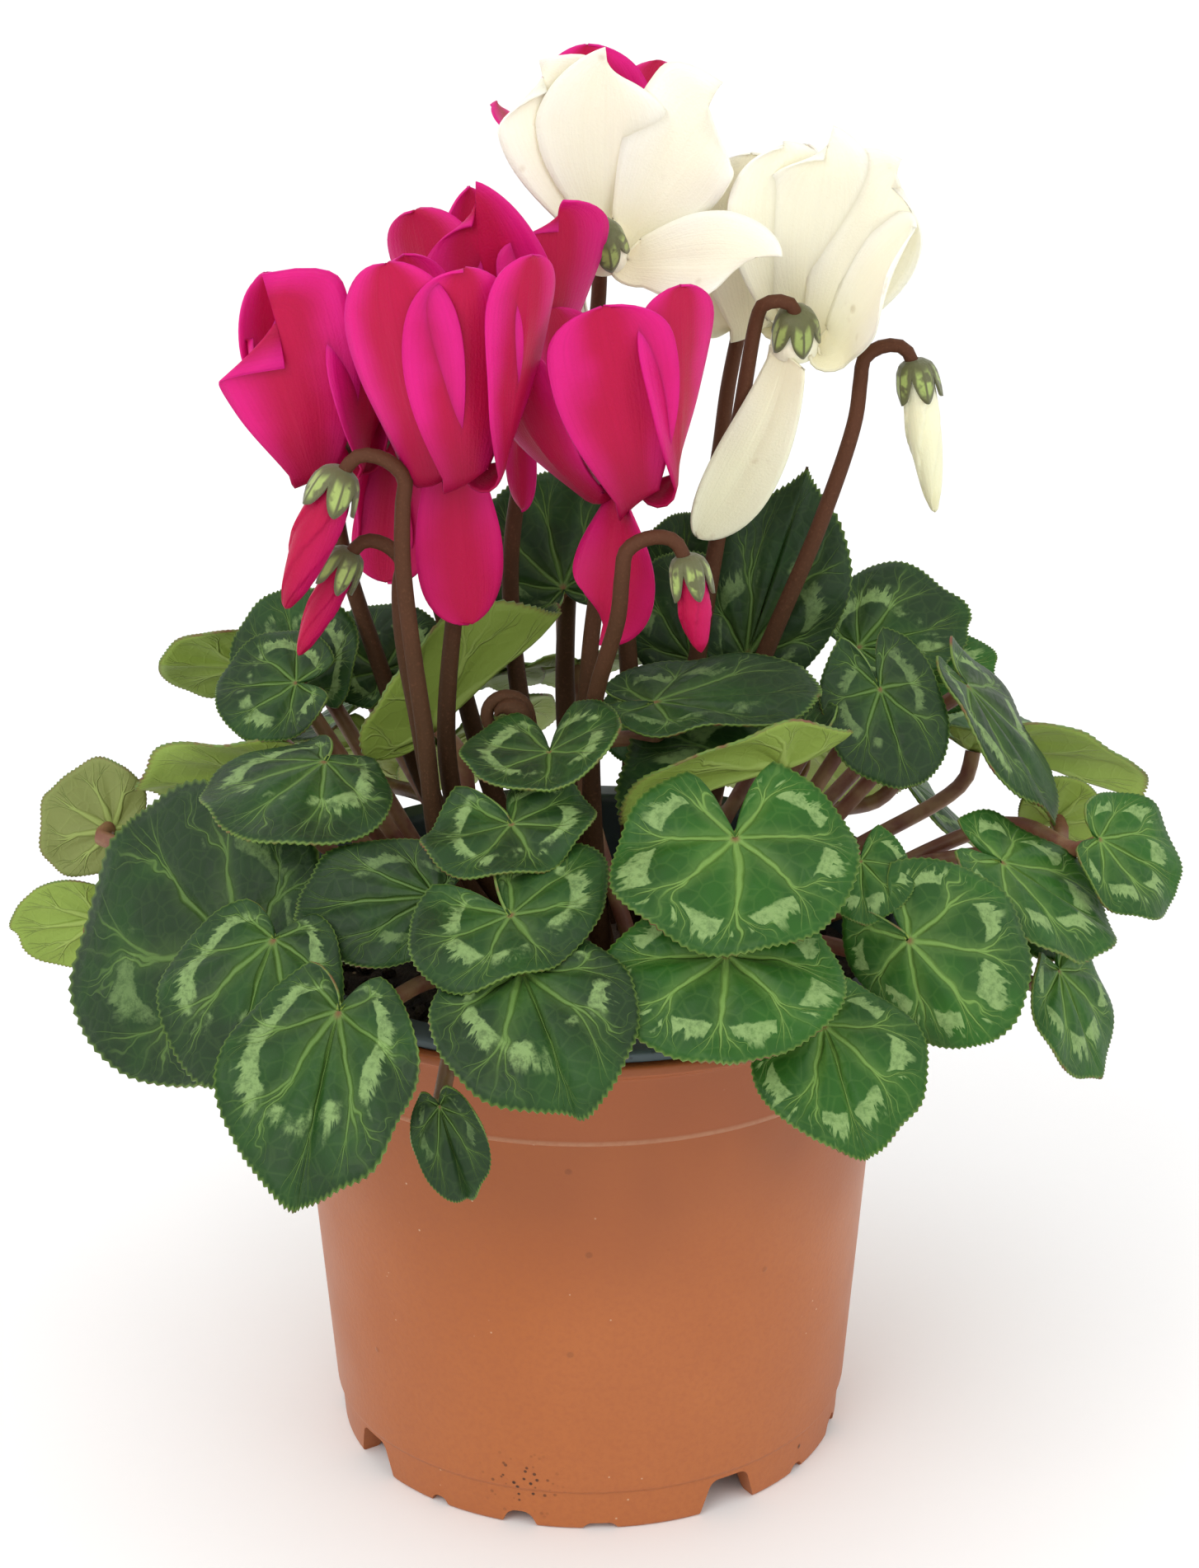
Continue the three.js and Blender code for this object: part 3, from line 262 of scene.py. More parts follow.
BUDS = [
    flower("bud_magenta_1", "magenta", [-48, -30, 206], [0.42, 0, 1], 90,
           [[-8, -12], [-26, -26, 128], [-31, -30, 165], [-34, -30, 195]], hook=6.4, bud=[21, 4.4]),
    flower("bud_magenta_2", "magenta", [-48, -22, 188], [0.5, 0, 1], 90,
           [[-10, -10], [-26, -18, 130], [-33, -21, 165], [-35, -22, 180]], hook=5.6, bud=[15, 3.0]),
    flower("bud_magenta_3", "magenta", [20, -29, 188], [-0.15, 0, 1], -90,
           [[3, -10], [1, -18, 140], [1.5, -23, 165], [6, -28, 184]], hook=6.2, bud=[11, 3.2]),
    flower("bud_white_1", "white", [65.5, 14, 214], [-0.16, 0, 1], -90,
           [[14, 4], [34, 8, 160], [46.4, 8, 192], [52.7, 11, 211.2]], hook=5.4, bud=[23, 3.6]),
]

# How each leaf is marked; those not named here have an unbroken silver band.
MARKS = {
    "blotched": ("front_5", "front_6", "front_7", "right_1", "right_2", "right_3", "right_4", "right_5",
                 "right_7", "right_8", "right_10", "middle_6"),
    "dark": ("upright_1", "upright_2", "upright_3", "upright_4", "middle_3", "middle_5", "left_3", "left_4"),
    "young": ("front_young",),
}
OLIVE_UNDERSIDES = ("left_7", "front_young")

# Blades: teeth, the notch at the junction, the swelling between the veins, and the ripple of the margin
TEETH = 84
TOOTH = 0.010
BLADE_ROWS = 12
NOTCH_ANGLE = 0.40
NOTCH_DEPTH = 0.92
LOBE_LIFT = 0.25
WAVER = 0.07
SWELLING = 0.75
VEIN_SINK = 0.35
RIPPLE = 0.75
RIPPLES = 5
UNEVEN_BLADE = 1.6

# Petals: steps along their length, their grid, the wave and lap of their edges, and the groove in the middle
PETAL_STRIDES = 48
PETAL_COLUMNS = 14
PETAL_ROWS = 30
FOLD_ROWS = 6
PETAL_WAVE = 1.1
PETAL_LAP = 2.2
PETAL_GROOVE = 0.5
UNEVEN_PETAL = 0.5

# Half the section of a calyx, in radius and height above the throat, and the ridge along each sepal
CALYX = ((0, 3.2), (1.9, 3), (3.3, 2.1), (4.1, 0.6), (4.5, -1.4), (4.7, -3.2), (4.75, -5.4))
SEPAL_KEEL = 0.35

# The young leaf that is still rolled up: middle, radii, half turns and advance of its coil, and its thick tip
COIL_MIDDLE = Vector((-15.5, -21, 162))
COIL_RADII = (4.4, 2)
COIL_HALF_TURNS = 2.9
COIL_ADVANCE = 2.2
SHOOT_TIP = (1.3, 1.7, 2.1, 2.4, 2.5, 2.4, 2.1, 1.7, 1.2, 0.8, 0.3)

# Loose crumbs of soil, and their least and greatest size
CRUMBS = 260
CRUMB_SIZES = (0.7, 2.1)

# Where the photograph was taken from, in metres, the sensor's width, and how far the camera looks down, turns
# and rolls
CAMERA_PLACE = (0, -0.674, 0.401)
SENSOR_WIDTH = 36
CAMERA_DOWN = radians(21.2)
CAMERA_TURN = -0.0037
CAMERA_ROLL = -0.0045

# The soft lights: place and size in metres, and share of the key light's power. They point at the crown.
LIGHTS = {"key": ((-0.55, -0.9, 1.0), 0.9, 1.0), "fill": ((0.9, -0.7, 0.5), 0.8, 0.3)}
CROWN = Vector((0, 0, 0.15))


# Making a piece

def deselect():
    bpy.ops.object.select_all(action="DESELECT")


def begun(primitive, **settings):
    """A new object, with nothing else selected."""
    deselect()
    primitive(**settings)
    return bpy.context.object


def activate(piece):
    deselect()
    piece.select_set(True)
    bpy.context.view_layer.objects.active = piece


def formed_sheet(name, columns, rows, place):
    """A grid whose corner (a, b), each from 0 to 1, goes to place(a, b) in millimetres.

    Its UV map keeps a and b.
    """
    piece = begun(bpy.ops.mesh.primitive_grid_add, x_subdivisions=columns, y_subdivisions=rows, size=1)
    piece.name = name
    for vertex in piece.data.vertices:
        vertex.co = Vector(place(vertex.co.x + 0.5, vertex.co.y + 0.5)) * MM
    bpy.ops.object.mode_set(mode="EDIT")
    bpy.ops.mesh.select_all(action="SELECT")
    bpy.ops.mesh.remove_doubles(threshold=0.02 * MM)
    bpy.ops.object.mode_set(mode="OBJECT")
    bpy.ops.object.shade_smooth()
    return piece


def thicken(piece, thickness, offset, under=0, rim=0):
    """Gives a sheet its thickness in metres; `under` and `rim` step on from each face's own material."""
    solid = piece.modifiers.new("Thickness", "SOLIDIFY")
    solid.thickness = thickness
    solid.offset = offset
    solid.material_offset = under
    solid.material_offset_rim = rim
    activate(piece)
    bpy.ops.object.modifier_apply(modifier=solid.name)


def face_outward(piece):
    activate(piece)
    bpy.ops.object.mode_set(mode="EDIT")
    bpy.ops.mesh.select_all(action="SELECT")
    bpy.ops.mesh.normals_make_consistent(inside=False)
    bpy.ops.object.mode_set(mode="OBJECT")
    return piece


def merged(pieces, name):
    deselect()
    for piece in pieces:
        piece.select_set(True)
    bpy.context.view_layer.objects.active = pieces[0]
    if len(pieces) > 1:
        bpy.ops.object.join()
    whole = bpy.context.object
    whole.name = name
    return whole


def rounded(profile, radius, steps=4):
    """The profile with each inner corner rounded by a short curve."""
    points = [Vector(profile[0])]
    for before, corner, after in zip(profile, profile[1:], profile[2:]):
        corner = Vector(corner)
        back = Vector(before) - corner
        ahead = Vector(after) - corner
        reach = min(radius, back.length * 0.4, ahead.length * 0.4)
        first = corner + back.normalized() * reach
        last = corner + ahead.normalized() * reach
        for i in range(steps + 1):
            t = i / steps
            points.append((1 - t) ** 2 * first + 2 * t * (1 - t) * corner + t * t * last)
    points.append(Vector(profile[-1]))
    return points


def turned(name, profile, steps):
    """A solid spun about the pot's axis from a profile of (radius, height) points."""
    start = Vector((profile[0][0], 0, profile[0][1])) * MM
    piece = begun(bpy.ops.mesh.primitive_plane_add, size=MM, location=start)
    piece.name = name
    bpy.ops.object.transform_apply(location=True, rotation=False, scale=False)
    bpy.ops.object.mode_set(mode="EDIT")
    bpy.ops.mesh.merge(type="CENTER")
    for before, after in zip(profile, profile[1:]):
        step = ((after[0] - before[0]) * MM, 0, (after[1] - before[1]) * MM)
        bpy.ops.mesh.extrude_region_move(TRANSFORM_OT_translate={"value": step})
    bpy.ops.mesh.select_all(action="SELECT")
    bpy.ops.mesh.spin(steps=steps, angle=2 * pi, center=(0, 0, 0), axis=(0, 0, 1))
    bpy.ops.mesh.select_all(action="SELECT")
    bpy.ops.mesh.remove_doubles(threshold=0.005 * MM)
    bpy.ops.mesh.normals_make_consistent(inside=False)
    bpy.ops.object.mode_set(mode="OBJECT")
    return piece


def cut_away(piece, tools):
    """Cuts the tools out of the piece and removes them."""
    tool = merged(tools, "cutter")
    boolean = piece.modifiers.new("Openings", "BOOLEAN")
    boolean.operation = "DIFFERENCE"
    boolean.solver = "EXACT"
    boolean.object = tool
    activate(piece)
    bpy.ops.object.modifier_apply(modifier=boolean.name)
    bpy.data.objects.remove(tool)


def smoothed(piece, angle=35):
    activate(piece)
    bpy.ops.object.shade_smooth_by_angle(angle=radians(angle))
    return piece


def tube(name, points, radii):
    """A round tube through points in millimetres, with its radius at each."""
    curve = begun(bpy.ops.curve.primitive_bezier_curve_add).data
    curve.splines.clear()
    spline = curve.splines.new("POLY")
    spline.points.add(len(points) - 1)
    for knot, place, radius in zip(spline.points, points, radii):
        knot.co = (*(place * MM), 1)
        knot.radius = radius
    curve.dimensions = "3D"
    curve.bevel_depth = MM
    curve.bevel_resolution = 4
    curve.use_fill_caps = True
    bpy.ops.object.convert(target="MESH")
    piece = bpy.context.object
    piece.name = name
    bpy.ops.object.shade_smooth()
    return piece


def finished(piece, slot, nodes, *materials):
    """Gives the piece its materials, hangs it on the root body and hides the solids that it stands for."""
    if materials:
        piece.data.materials.clear()
    for material in materials:
        piece.data.materials.append(material)
    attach(piece, "root")
    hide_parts(*nodes)
    return piece


# Curves through points

def walked_along(points):
    """How far each point is from the first, along the line through them."""
    walked = [0.0]
    for before, after in zip(points, points[1:]):
        walked.append(walked[-1] + (after - before).length)
    return walked


def bent_line(knots, steps, fineness=24):
    """Evenly spaced points of a centripetal Catmull-Rom curve through the knots."""
    ends = [2 * knots[0] - knots[1], *knots, 2 * knots[-1] - knots[-2]]
    dense = []
    for p0, p1, p2, p3 in zip(ends, ends[1:], ends[2:], ends[3:]):
        d0, d1, d2 = (max((b - a).length ** 0.5, 1e-4) for a, b in ((p0, p1), (p1, p2), (p2, p3)))
        leave = ((p1 - p0) / d0 - (p2 - p0) / (d0 + d1) + (p2 - p1) / d1) * d1
        arrive = ((p2 - p1) / d1 - (p3 - p1) / (d1 + d2) + (p3 - p2) / d2) * d1
        for i in range(fineness):
            t = i / fineness
            dense.append(p1 + leave * t + (3 * (p2 - p1) - 2 * leave - arrive) * t * t
                         + (2 * (p1 - p2) + leave + arrive) * t ** 3)
    dense.append(knots[-1])
    walked = walked_along(dense)
    line = []
    index = 0
    for i in range(steps + 1):
        goal = walked[-1] * i / steps
        while index < len(dense) - 2 and walked[index + 1] < goal:
            index += 1
        share = (goal - walked[index]) / max(walked[index + 1] - walked[index], 1e-9)
        line.append(dense[index].lerp(dense[index + 1], share))
    return line


def between(low, high, share):
    return low + (high - low) * share


def eased(value, low, high):
    """0 below low, 1 above high, and smooth between."""
    share = min(max((value - low) / (high - low), 0), 1)
    return share * share * (3 - 2 * share)


# Leaves, as in the solids, with a finer notch and margin and the swelling between the veins

def leaf_frame(entry):
    at = Vector(entry["at"])
    along = Vector(entry["tip"]) - at
    length = along.length
    along.normalize()
    azimuth, elevation = (radians(angle) for angle in entry["face"])
    up = Vector((sin(azimuth) * cos(elevation), -cos(azimuth) * cos(elevation),
                 sin(elevation)))
    up = (up - along * up.dot(along)).normalized()
    return at, along, up, along.cross(up), length


def outline_point(entry, length, t):
    right = t >= 0
    wide = entry["wide"][0 if right else 1]
    pointed = 1 + entry["point"] if abs(t) < pi / 2 else 1
    u = wide * abs(sin(t)) ** pointed * (1 if right else -1)
    v = (length - entry["lobe"]) / 2 + (length + entry["lobe"]) / 2 * cos(t)
    keep = 1 - NOTCH_DEPTH * eased(abs(t), pi - NOTCH_ANGLE, pi)
    return u * keep, v * keep


def leaf_point(entry, placed, u, v):
    """Where a point of the flat blade goes, and the blade's normal there."""
    at, along, up, across, length = placed
    bend = radians(entry["arch"])
    arc = length * (bend / 2) / sin(bend / 2)
    curve = bend / arc
    slope = curve * (arc / 2 - v * arc / length)
    forward = (sin(bend / 2) - sin(slope)) / curve
    rise = (cos(slope) - cos(bend / 2)) / curve
    half = 0 if u >= 0 else 1
    fold = radians(entry["fold"][half])
    curl = radians(entry["curl"][half]) / entry["wide"][half]
    out = abs(u)
    aside = (sin(fold + curl * out) - sin(fold)) / curl
    lift = (cos(fold) - cos(fold + curl * out)) / curl
    normal = up * cos(slope) - along * sin(slope)
    place = at + along * forward + up * rise + across * (aside if half == 0 else -aside)
    return place + normal * lift, normal


def make_blade(entry, number, thickness, finishes):
    """A toothed blade whose finishes are its upper face, its underside and its margin."""
    placed = leaf_frame(entry)
    length = placed[4]
    size = (length + entry["wide"][0]) / 40
    height, waves, phase = entry["ruffle"]

    def place(a, b):
        t = (2 * a - 1) * pi
        u, v = outline_point(entry, length, t)
        in_notch = eased(abs(t), pi - NOTCH_ANGLE, pi)
        tooth = 1 + TOOTH * cos(TEETH * 2 * pi * a) * eased(b, 0.9, 1) * (1 - in_notch)
        out = b * tooth * (1 + WAVER * b * noise.noise(polar(1.9, t, 7.3 * number)))
        v *= out
        point, normal = leaf_point(entry, placed, u * out, v)
        point += placed[2] * (height * b * b * sin(waves * t + radians(phase)))
        cell = abs((a * PRIMARY_VEINS) % 1 - 0.5)
        swell = size * (SWELLING * eased(cell, 0.02, 0.4) - VEIN_SINK) * sin(pi * min(b, 0.98)) ** 0.8
        ripple = RIPPLE * size * b ** 3 * sin(RIPPLES * t + number)
        uneven = UNEVEN_BLADE * b * b * noise.noise(point * 0.09)
        raised = LOBE_LIFT * entry["lobe"] * (max(-v, 0) / entry["lobe"]) ** 2
        return point + normal * (swell + ripple + uneven + raised)

    blade = formed_sheet("blade", 2 * TEETH, BLADE_ROWS, place)
    for material in finishes:
        blade.data.materials.append(material)
    thicken(blade, thickness, -1, under=1, rim=2)
    return blade


def petiole_line(entry):
    """From the crown of the corm to the underside of the blade, by the same rule as in the solids."""
    placed = leaf_frame(entry)
    up = placed[2]
    droop = 1.5 * PETIOLE_RADIUS * tan(radians(max(0, -min(entry["fold"]))))
    landing = leaf_point(entry, placed, 0, 1)[0] - up * (SOLID_BLADE + SEAT_GAP + 0.1 + droop)
    start = polar(CROWN_RADIUS, atan2(landing.y, landing.x), CROWN_HEIGHT)
    before = landing - up * 6
    middle = Vector(entry["via"]) if entry["via"] else start.lerp(before, 0.55)
    if not entry["via"] and hypot(landing.x, landing.y) > LINER_LIP_RADIUS - 10:
        middle.z = max(middle.z, OVER_RIM + 0.4 * max(0, OVER_RIM + 3 - landing.z))
    return [start, middle, before, landing + up * (SEAT_GAP + 0.3)]


# Blooms

def flower_frame(axis):
    up = Vector(axis).normalized()
    front = Vector((0, -1, 0))
    front = (front - up * front.dot(up)).normalized()
    return up, front, up.cross(front)


def petal_half_width(width, s, point):
    fan = max(-point, 0)
    widest = 0.62 + 0.24 * fan
    grown = sin(pi / 2 * min(s / widest, 1))
    past = max((s - widest) / (1 - widest), 0)
    blunt = sqrt(max(1 - past ** (2.6 + fan), 0))
    pointed = (1 - past) ** 0.75 * (1 + 0.5 * past)
    return between(PETAL_FOOT_WIDTH / 2, width / 2, grown) * between(blunt, pointed, max(point, 0))


def petal_sections(entry, petal, stations):
    """Centre, across, inward, half width and cup of a petal at each station, with -1 to 0 in its fold."""
    phi, turn, length, width, bend, twist, cup, sway, point, slant = petal
    up, front, right = flower_frame(entry["axis"])
    out = front * cos(radians(phi)) + right * sin(radians(phi))
    side = up.cross(out)
    fold = FOLD_RADIUS * radians(turn)
    place = Vector(entry["mouth"]) + out * MOUTH_RADIUS + up * 0.4

    def heading(walked):
        s = max(walked - fold, 0) / length
        turned_by = radians(min(walked / fold, 1) * turn + bend * s)
        swayed = radians(sway * s)
        ahead = out * sin(turned_by) - up * cos(turned_by)
        return ahead * cos(swayed) + side * sin(swayed)

    sections = []
    walked = 0.0
    for station in stations:
        goal = fold * (1 + station) if station < 0 else fold + length * station
        while walked < goal - 1e-9:
            stride = min((fold + length) / PETAL_STRIDES, goal - walked)
            place = place + heading(walked + stride / 2) * stride
            walked += stride
        s = max(station, 0)
        ahead = heading(walked)
        across = (side - ahead * side.dot(ahead)).normalized()
        across.rotate(Quaternion(ahead, radians(twist * s)))
        half = PETAL_FOOT_WIDTH / 2 if station < 0 else petal_half_width(width, s, point)
        sections.append((place.copy(), across, ahead.cross(across), ahead * slant * s * s, max(half, 0.25),
                         cup * half, s))
    return sections


def make_petal(entry, petal, number, thickness):
    rows = PETAL_ROWS
    free = rows - FOLD_ROWS
    stations = [-1 + i / FOLD_ROWS for i in range(FOLD_ROWS)]
    stations += [1 - (1 - i / free) ** 1.5 for i in range(free + 1)]
    sections = petal_sections(entry, petal, stations)
    phase = 2.4 * number + 0.7 * petal[0]

    def place(a, b):
        centre, across, inward, slant, half, cup, s = sections[round(b * rows)]
        x = 2 * a - 1
        edge = abs(x) ** 2.5
        wave = edge * s * (PETAL_WAVE * sin(6.5 * s + phase + (1.7 if x > 0 else 0)) - 0.4)
        groove = -PETAL_GROOVE * exp(-((x / 0.16) ** 2)) * sin(pi * min(s * 1.1, 1))
        lap = PETAL_LAP * x * (1 - 0.7 * eased(s, 0.35, 0.95))
        point = centre + across * (half * x) + slant * x + inward * (cup * x * x + wave + groove + lap)
        return point + inward * (UNEVEN_PETAL * s * noise.noise(point * 0.09))

    sheet = formed_sheet("petal", PETAL_COLUMNS, rows, place)
    thicken(sheet, thickness, 0)
    return sheet


def stand_on(entry, point):
    """A point given about the flower's own axis, in the part's frame."""
    turn = Vector((0, 0, 1)).rotation_difference(Vector(entry["axis"]).normalized())
    return turn @ Vector(point) + Vector(entry["mouth"])


def round_body(name, entry, profile, columns, shape=None):
    """A closed body turned about the flower's own axis, with `shape` changing its radius."""
    rows = len(profile) - 1

    def place(a, b):
        radius, height = profile[round(b * rows)]
        angle = 2 * pi * a
        return stand_on(entry, polar(radius * (shape(angle, height) if shape else 1), angle, height))

    return face_outward(formed_sheet(name, columns, rows, place))


def make_throat(entry):
    profile = rounded([(0, 3.6), (2.2, 3.2), (3.5, 0.2), (3.9, -1.3), (4.7, -1.2), (4.6, 1.5),
                       (3.3, THROAT_HEIGHT), (0, THROAT_HEIGHT)], 0.5, 3)
    return round_body("throat", entry, profile, 30)


def make_anthers(entry):
    """The cone of anthers and the style, seen only in the mouth."""
    profile = rounded([(0, 3.4), (1.8, 3.4), (1.9, 1.5), (0.9, -0.6), (0.35, -0.9), (0.3, -2.6),
                       (0, -2.8)], 0.4, 3)
    return round_body("anthers", entry, profile, 20, lambda angle, _: 1 + 0.12 * cos(5 * angle))


def make_bud(entry):
    length, radius = entry["bud"]
    profile = rounded([
        (0, -length), (radius * 0.2, -length + 0.6), (radius * 0.5, -length * 0.82),
        (radius * 0.78, -length * 0.55), (radius, -length * 0.25), (radius * 0.92, 0), (3.2, THROAT_HEIGHT),
        (0, THROAT_HEIGHT),
    ], 3, 6)

    def spiral(angle, height):
        """Five petals rolled round each other."""
        lap = (5 * angle / (2 * pi) - 0.07 * height) % 1
        return 0.9 + 0.16 * lap

    return round_body("bud", entry, profile, 60, spiral)


def stalk_line(entry):
    up, front, right = flower_frame(entry["axis"])
    side = radians(entry["side"])
    aside = front * cos(side) + right * sin(side)
    neck = Vector(entry["mouth"]) + up * (THROAT_HEIGHT + SEAT_GAP + 0.6)
    reach = entry["hook"]
    hook = [neck + aside * (out * reach) + up * (rise * reach + lift) for out, rise, lift in
            ((2, 0, 0), (1.75, 0.75, 0), (1, 0.95, 0.6), (0.3, 0.72, 0.8), (0, 0, 0))]
    return [*entry["stem"], *hook]


def make_stalk(entry):
    steps = 72
    line = bent_line(stalk_line(entry), steps)
    radii = []
    for i in range(steps + 1):
        t = i / steps
        radii.append(between(STALK_FOOT_RADIUS, STALK_NECK_RADIUS, t) * (1 + 0.03 * sin(9 * t)))
    return tube("stalk_" + entry["name"], line, radii)


def make_coiled_shoot():
    """A young leaf still rolled up, at the end of a stem that coils like a spring."""
    points = [Vector((-5, -9, STEM_FOOT)), Vector((-8, -13, 128)), Vector((-10, -18, 150))]
    knots = 26
    for i in range(knots + 1):
        t = i / knots
        x, z, advance = polar(between(*COIL_RADII, t), COIL_HALF_TURNS * pi * t, COIL_ADVANCE * t)
        points.append(COIL_MIDDLE + Vector((x, -advance, z)))
    steps = 90
    radii = [between(1.7, 1.2, i / steps) for i in range(steps + 1 - len(SHOOT_TIP))]
    return tube("coiled_shoot", bent_line(points, steps), [*radii, *SHOOT_TIP])


def make_calyx(entry):
    """A cap on the throat, drawn out into five blunt sepals, which lie close to a bud."""
    profile = [Vector((radius, THROAT_HEIGHT + rise)) for radius, rise in CALYX]
    reach = walked_along(profile)
    snug = (entry["bud"][1] + 0.75) / profile[-1].x if entry["bud"] else 1

    def place(a, b):
        lobe = abs((a * SEPALS) % 1 - 0.5) * 2
        goal = between(0.5, 0.98, sin(lobe * pi / 2) ** 0.8) * reach[-1] * b
        index = max(i for i in range(len(reach) - 1) if reach[i] <= goal)
        share = (goal - reach[index]) / (reach[index + 1] - reach[index])
        radius, height = profile[index].lerp(profile[index + 1], share)
        keel = SEPAL_KEEL * b * exp(-(((1 - lobe) / 0.16) ** 2))
        return stand_on(entry, polar(radius * between(1, snug, b) + keel, 2 * pi * a, height))

    cap = formed_sheet("calyx_" + entry["name"], 80, 12, place)
    thicken(cap, FINE_SEPAL * MM, 1)
    return face_outward(cap)


# The pot, its liner, the soil and the corm

def wall_radius(height):
    """Inside of the pot less a gap, which the liner's wall follows."""
    share = (height - FOOT_HEIGHT) / (BAND_HEIGHT + 4 - FOOT_HEIGHT)
    return between(WALL_FOOT_RADIUS - POT_WALL, BAND_RADIUS + 2.4 - POT_WALL, share) - SEAT_GAP - 0.1


def foot_notch(middle, width, depth, quarter):
    """A tapered block with its upper edges rounded, which cuts a notch in the foot."""
    half = FOOT_RADIUS * radians(width) / 2
    block = begun(bpy.ops.mesh.primitive_cube_add, size=1)
    for vertex in block.data.vertices:
        upper = vertex.co.z > 0
        reach = half * 0.7 if upper else half + 1
        vertex.co = Vector((copysign(reach, vertex.co.x), 12 * vertex.co.y - FOOT_RADIUS + 2,
                            depth if upper else -1)) * MM
    bpy.ops.object.mode_set(mode="EDIT")
    bpy.ops.mesh.select_all(action="DESELECT")
    bpy.ops.object.mode_set(mode="OBJECT")
    for edge in block.data.edges:
        first, second = (block.data.vertices[i].co for i in edge.vertices)
        edge.select = first.z > 0 and second.z > 0 and abs(first.y - second.y) > 5 * MM
    bpy.ops.object.mode_set(mode="EDIT")
    bpy.ops.mesh.select_mode(type="EDGE")
    bpy.ops.mesh.bevel(offset=min(1.6, depth * 0.5, half * 0.5) * MM, segments=4)
    bpy.ops.mesh.select_mode(type="VERT")
    bpy.ops.object.mode_set(mode="OBJECT")
    block.data.transform(Matrix.Rotation(radians(middle + 90 * quarter), 4, "Z"))
    return block


def drain_plugs(bottom, top):
    plugs = []
    for i in range(DRAIN_HOLES):
        place = polar(DRAIN_CIRCLE, 2 * pi * (i + 0.5) / DRAIN_HOLES, (bottom + top) / 2)
        plugs.append(begun(bpy.ops.mesh.primitive_cylinder_add, vertices=32, radius=DRAIN_RADIUS * MM,
                           depth=(top - bottom) * MM, location=place * MM))
        bpy.ops.object.transform_apply(location=True, rotation=False, scale=False)
    return plugs


def make_pot():
    floor = FOOT_HEIGHT - POT_WALL
    outside = [
        (0, floor), (FOOT_INNER_RADIUS, floor), (FOOT_INNER_RADIUS + 1, 0), (FOOT_RADIUS, 0),
        (FOOT_RADIUS + 0.6, FOOT_HEIGHT), (WALL_FOOT_RADIUS, FOOT_HEIGHT + 0.8),
        (BAND_RADIUS - 0.2, BAND_HEIGHT - 0.6), (BAND_RADIUS + 0.9, BAND_HEIGHT + 0.4),
        (BAND_RADIUS + 0.8, BAND_HEIGHT + 1.4), (BAND_RADIUS + 3.4, LIP_UNDERSIDE - 3),
        (LIP_RADIUS - 1, LIP_UNDERSIDE), (LIP_RADIUS, LIP_UNDERSIDE + 0.5), (LIP_RADIUS - 0.3, POT_HEIGHT),
        (BAND_RADIUS + 4.2 - POT_WALL, POT_HEIGHT), (BAND_RADIUS + 2.4 - POT_WALL, BAND_HEIGHT + 4),
        (WALL_FOOT_RADIUS - POT_WALL, FOOT_HEIGHT), (0, FOOT_HEIGHT),
    ]
    pot = turned("pot_shell", rounded(outside, 0.9), POT_STEPS)
    notches = [foot_notch(*form, quarter) for form in FOOT_NOTCHES for quarter in range(4)]
    cut_away(pot, [*notches, *drain_plugs(floor - 1, FOOT_HEIGHT + 1)])
    return smoothed(pot)


def make_liner():
    floor = FOOT_HEIGHT + SEAT_GAP
    ledge = POT_HEIGHT + SEAT_GAP
    top = ledge + LINER_LIP_HEIGHT
    profile = [
        (0, floor), (wall_radius(floor), floor), (wall_radius(BAND_HEIGHT + 4), BAND_HEIGHT + 4),
        (BAND_RADIUS + 3.5 - POT_WALL, ledge), (LINER_LIP_RADIUS, ledge), (LINER_LIP_RADIUS, top - 0.6),
        (LINER_LIP_RADIUS - 0.8, top), (BAND_RADIUS + 2.6, top), (BAND_RADIUS + 1.4, top - 1),
        (wall_radius(BAND_HEIGHT) - LINER_WALL, BAND_HEIGHT),
        (wall_radius(floor + LINER_WALL) - LINER_WALL, floor + LINER_WALL), (0, floor + LINER_WALL),
    ]
    liner = turned("liner_shell", rounded(profile, 0.6), LINER_STEPS)
    cut_away(liner, drain_plugs(floor - 1, floor + LINER_WALL + 1))
    return smoothed(liner)


def make_soil():
    """Peaty soil, heaped a little round the corm, with loose crumbs on it."""
    draw = random.Random(7)
    floor = FOOT_HEIGHT + 2 * SEAT_GAP + LINER_WALL
    gap = LINER_WALL + SEAT_GAP
    edge = wall_radius(BAND_HEIGHT) - gap

    def surface(share):
        """Height of the soil at a share of the way from its edge to its middle."""
        return SOIL_LEVEL + SOIL_MOUND * eased(share, 0.05, 0.4)

    rings = 26
    top = [(between(edge, 0, i / rings), surface(i / rings)) for i in range(rings + 1)]
    profile = [(0, floor), (wall_radius(floor) - gap, floor), (edge, BAND_HEIGHT - 1), *top]
    soil = turned("soil_bed", profile, SOIL_STEPS)
    for vertex in soil.data.vertices:
        if vertex.co.z > (SOIL_LEVEL - 1) * MM and vertex.co.xy.length < (edge - 1) * MM:
            vertex.co.z += 1.6 * MM * noise.noise(vertex.co * 220) + 0.9 * MM * noise.noise(vertex.co * 640)
    crumbs = [soil]
    for _ in range(CRUMBS):
        heading = draw.uniform(0, 2 * pi)
        out = draw.uniform(CORM_RADIUS + 1, edge - 3)
        size = draw.uniform(*CRUMB_SIZES)
        place = polar(out, heading, surface(1 - out / edge) + size * 0.3)
        crumb = begun(bpy.ops.mesh.primitive_ico_sphere_add, subdivisions=1, radius=MM)
        stretch = Vector((draw.uniform(0.7, 1.3), draw.uniform(0.7, 1.3), draw.uniform(0.5, 0.9))) * size
        for vertex in crumb.data.vertices:
            lump = 1 + 0.35 * noise.noise(vertex.co * 900 + Vector((size * 9, 0, 0)))
            vertex.co = vertex.co * stretch * lump + place * MM
        crumbs.append(crumb)
    return smoothed(merged(crumbs, "soil_bed"), 40)


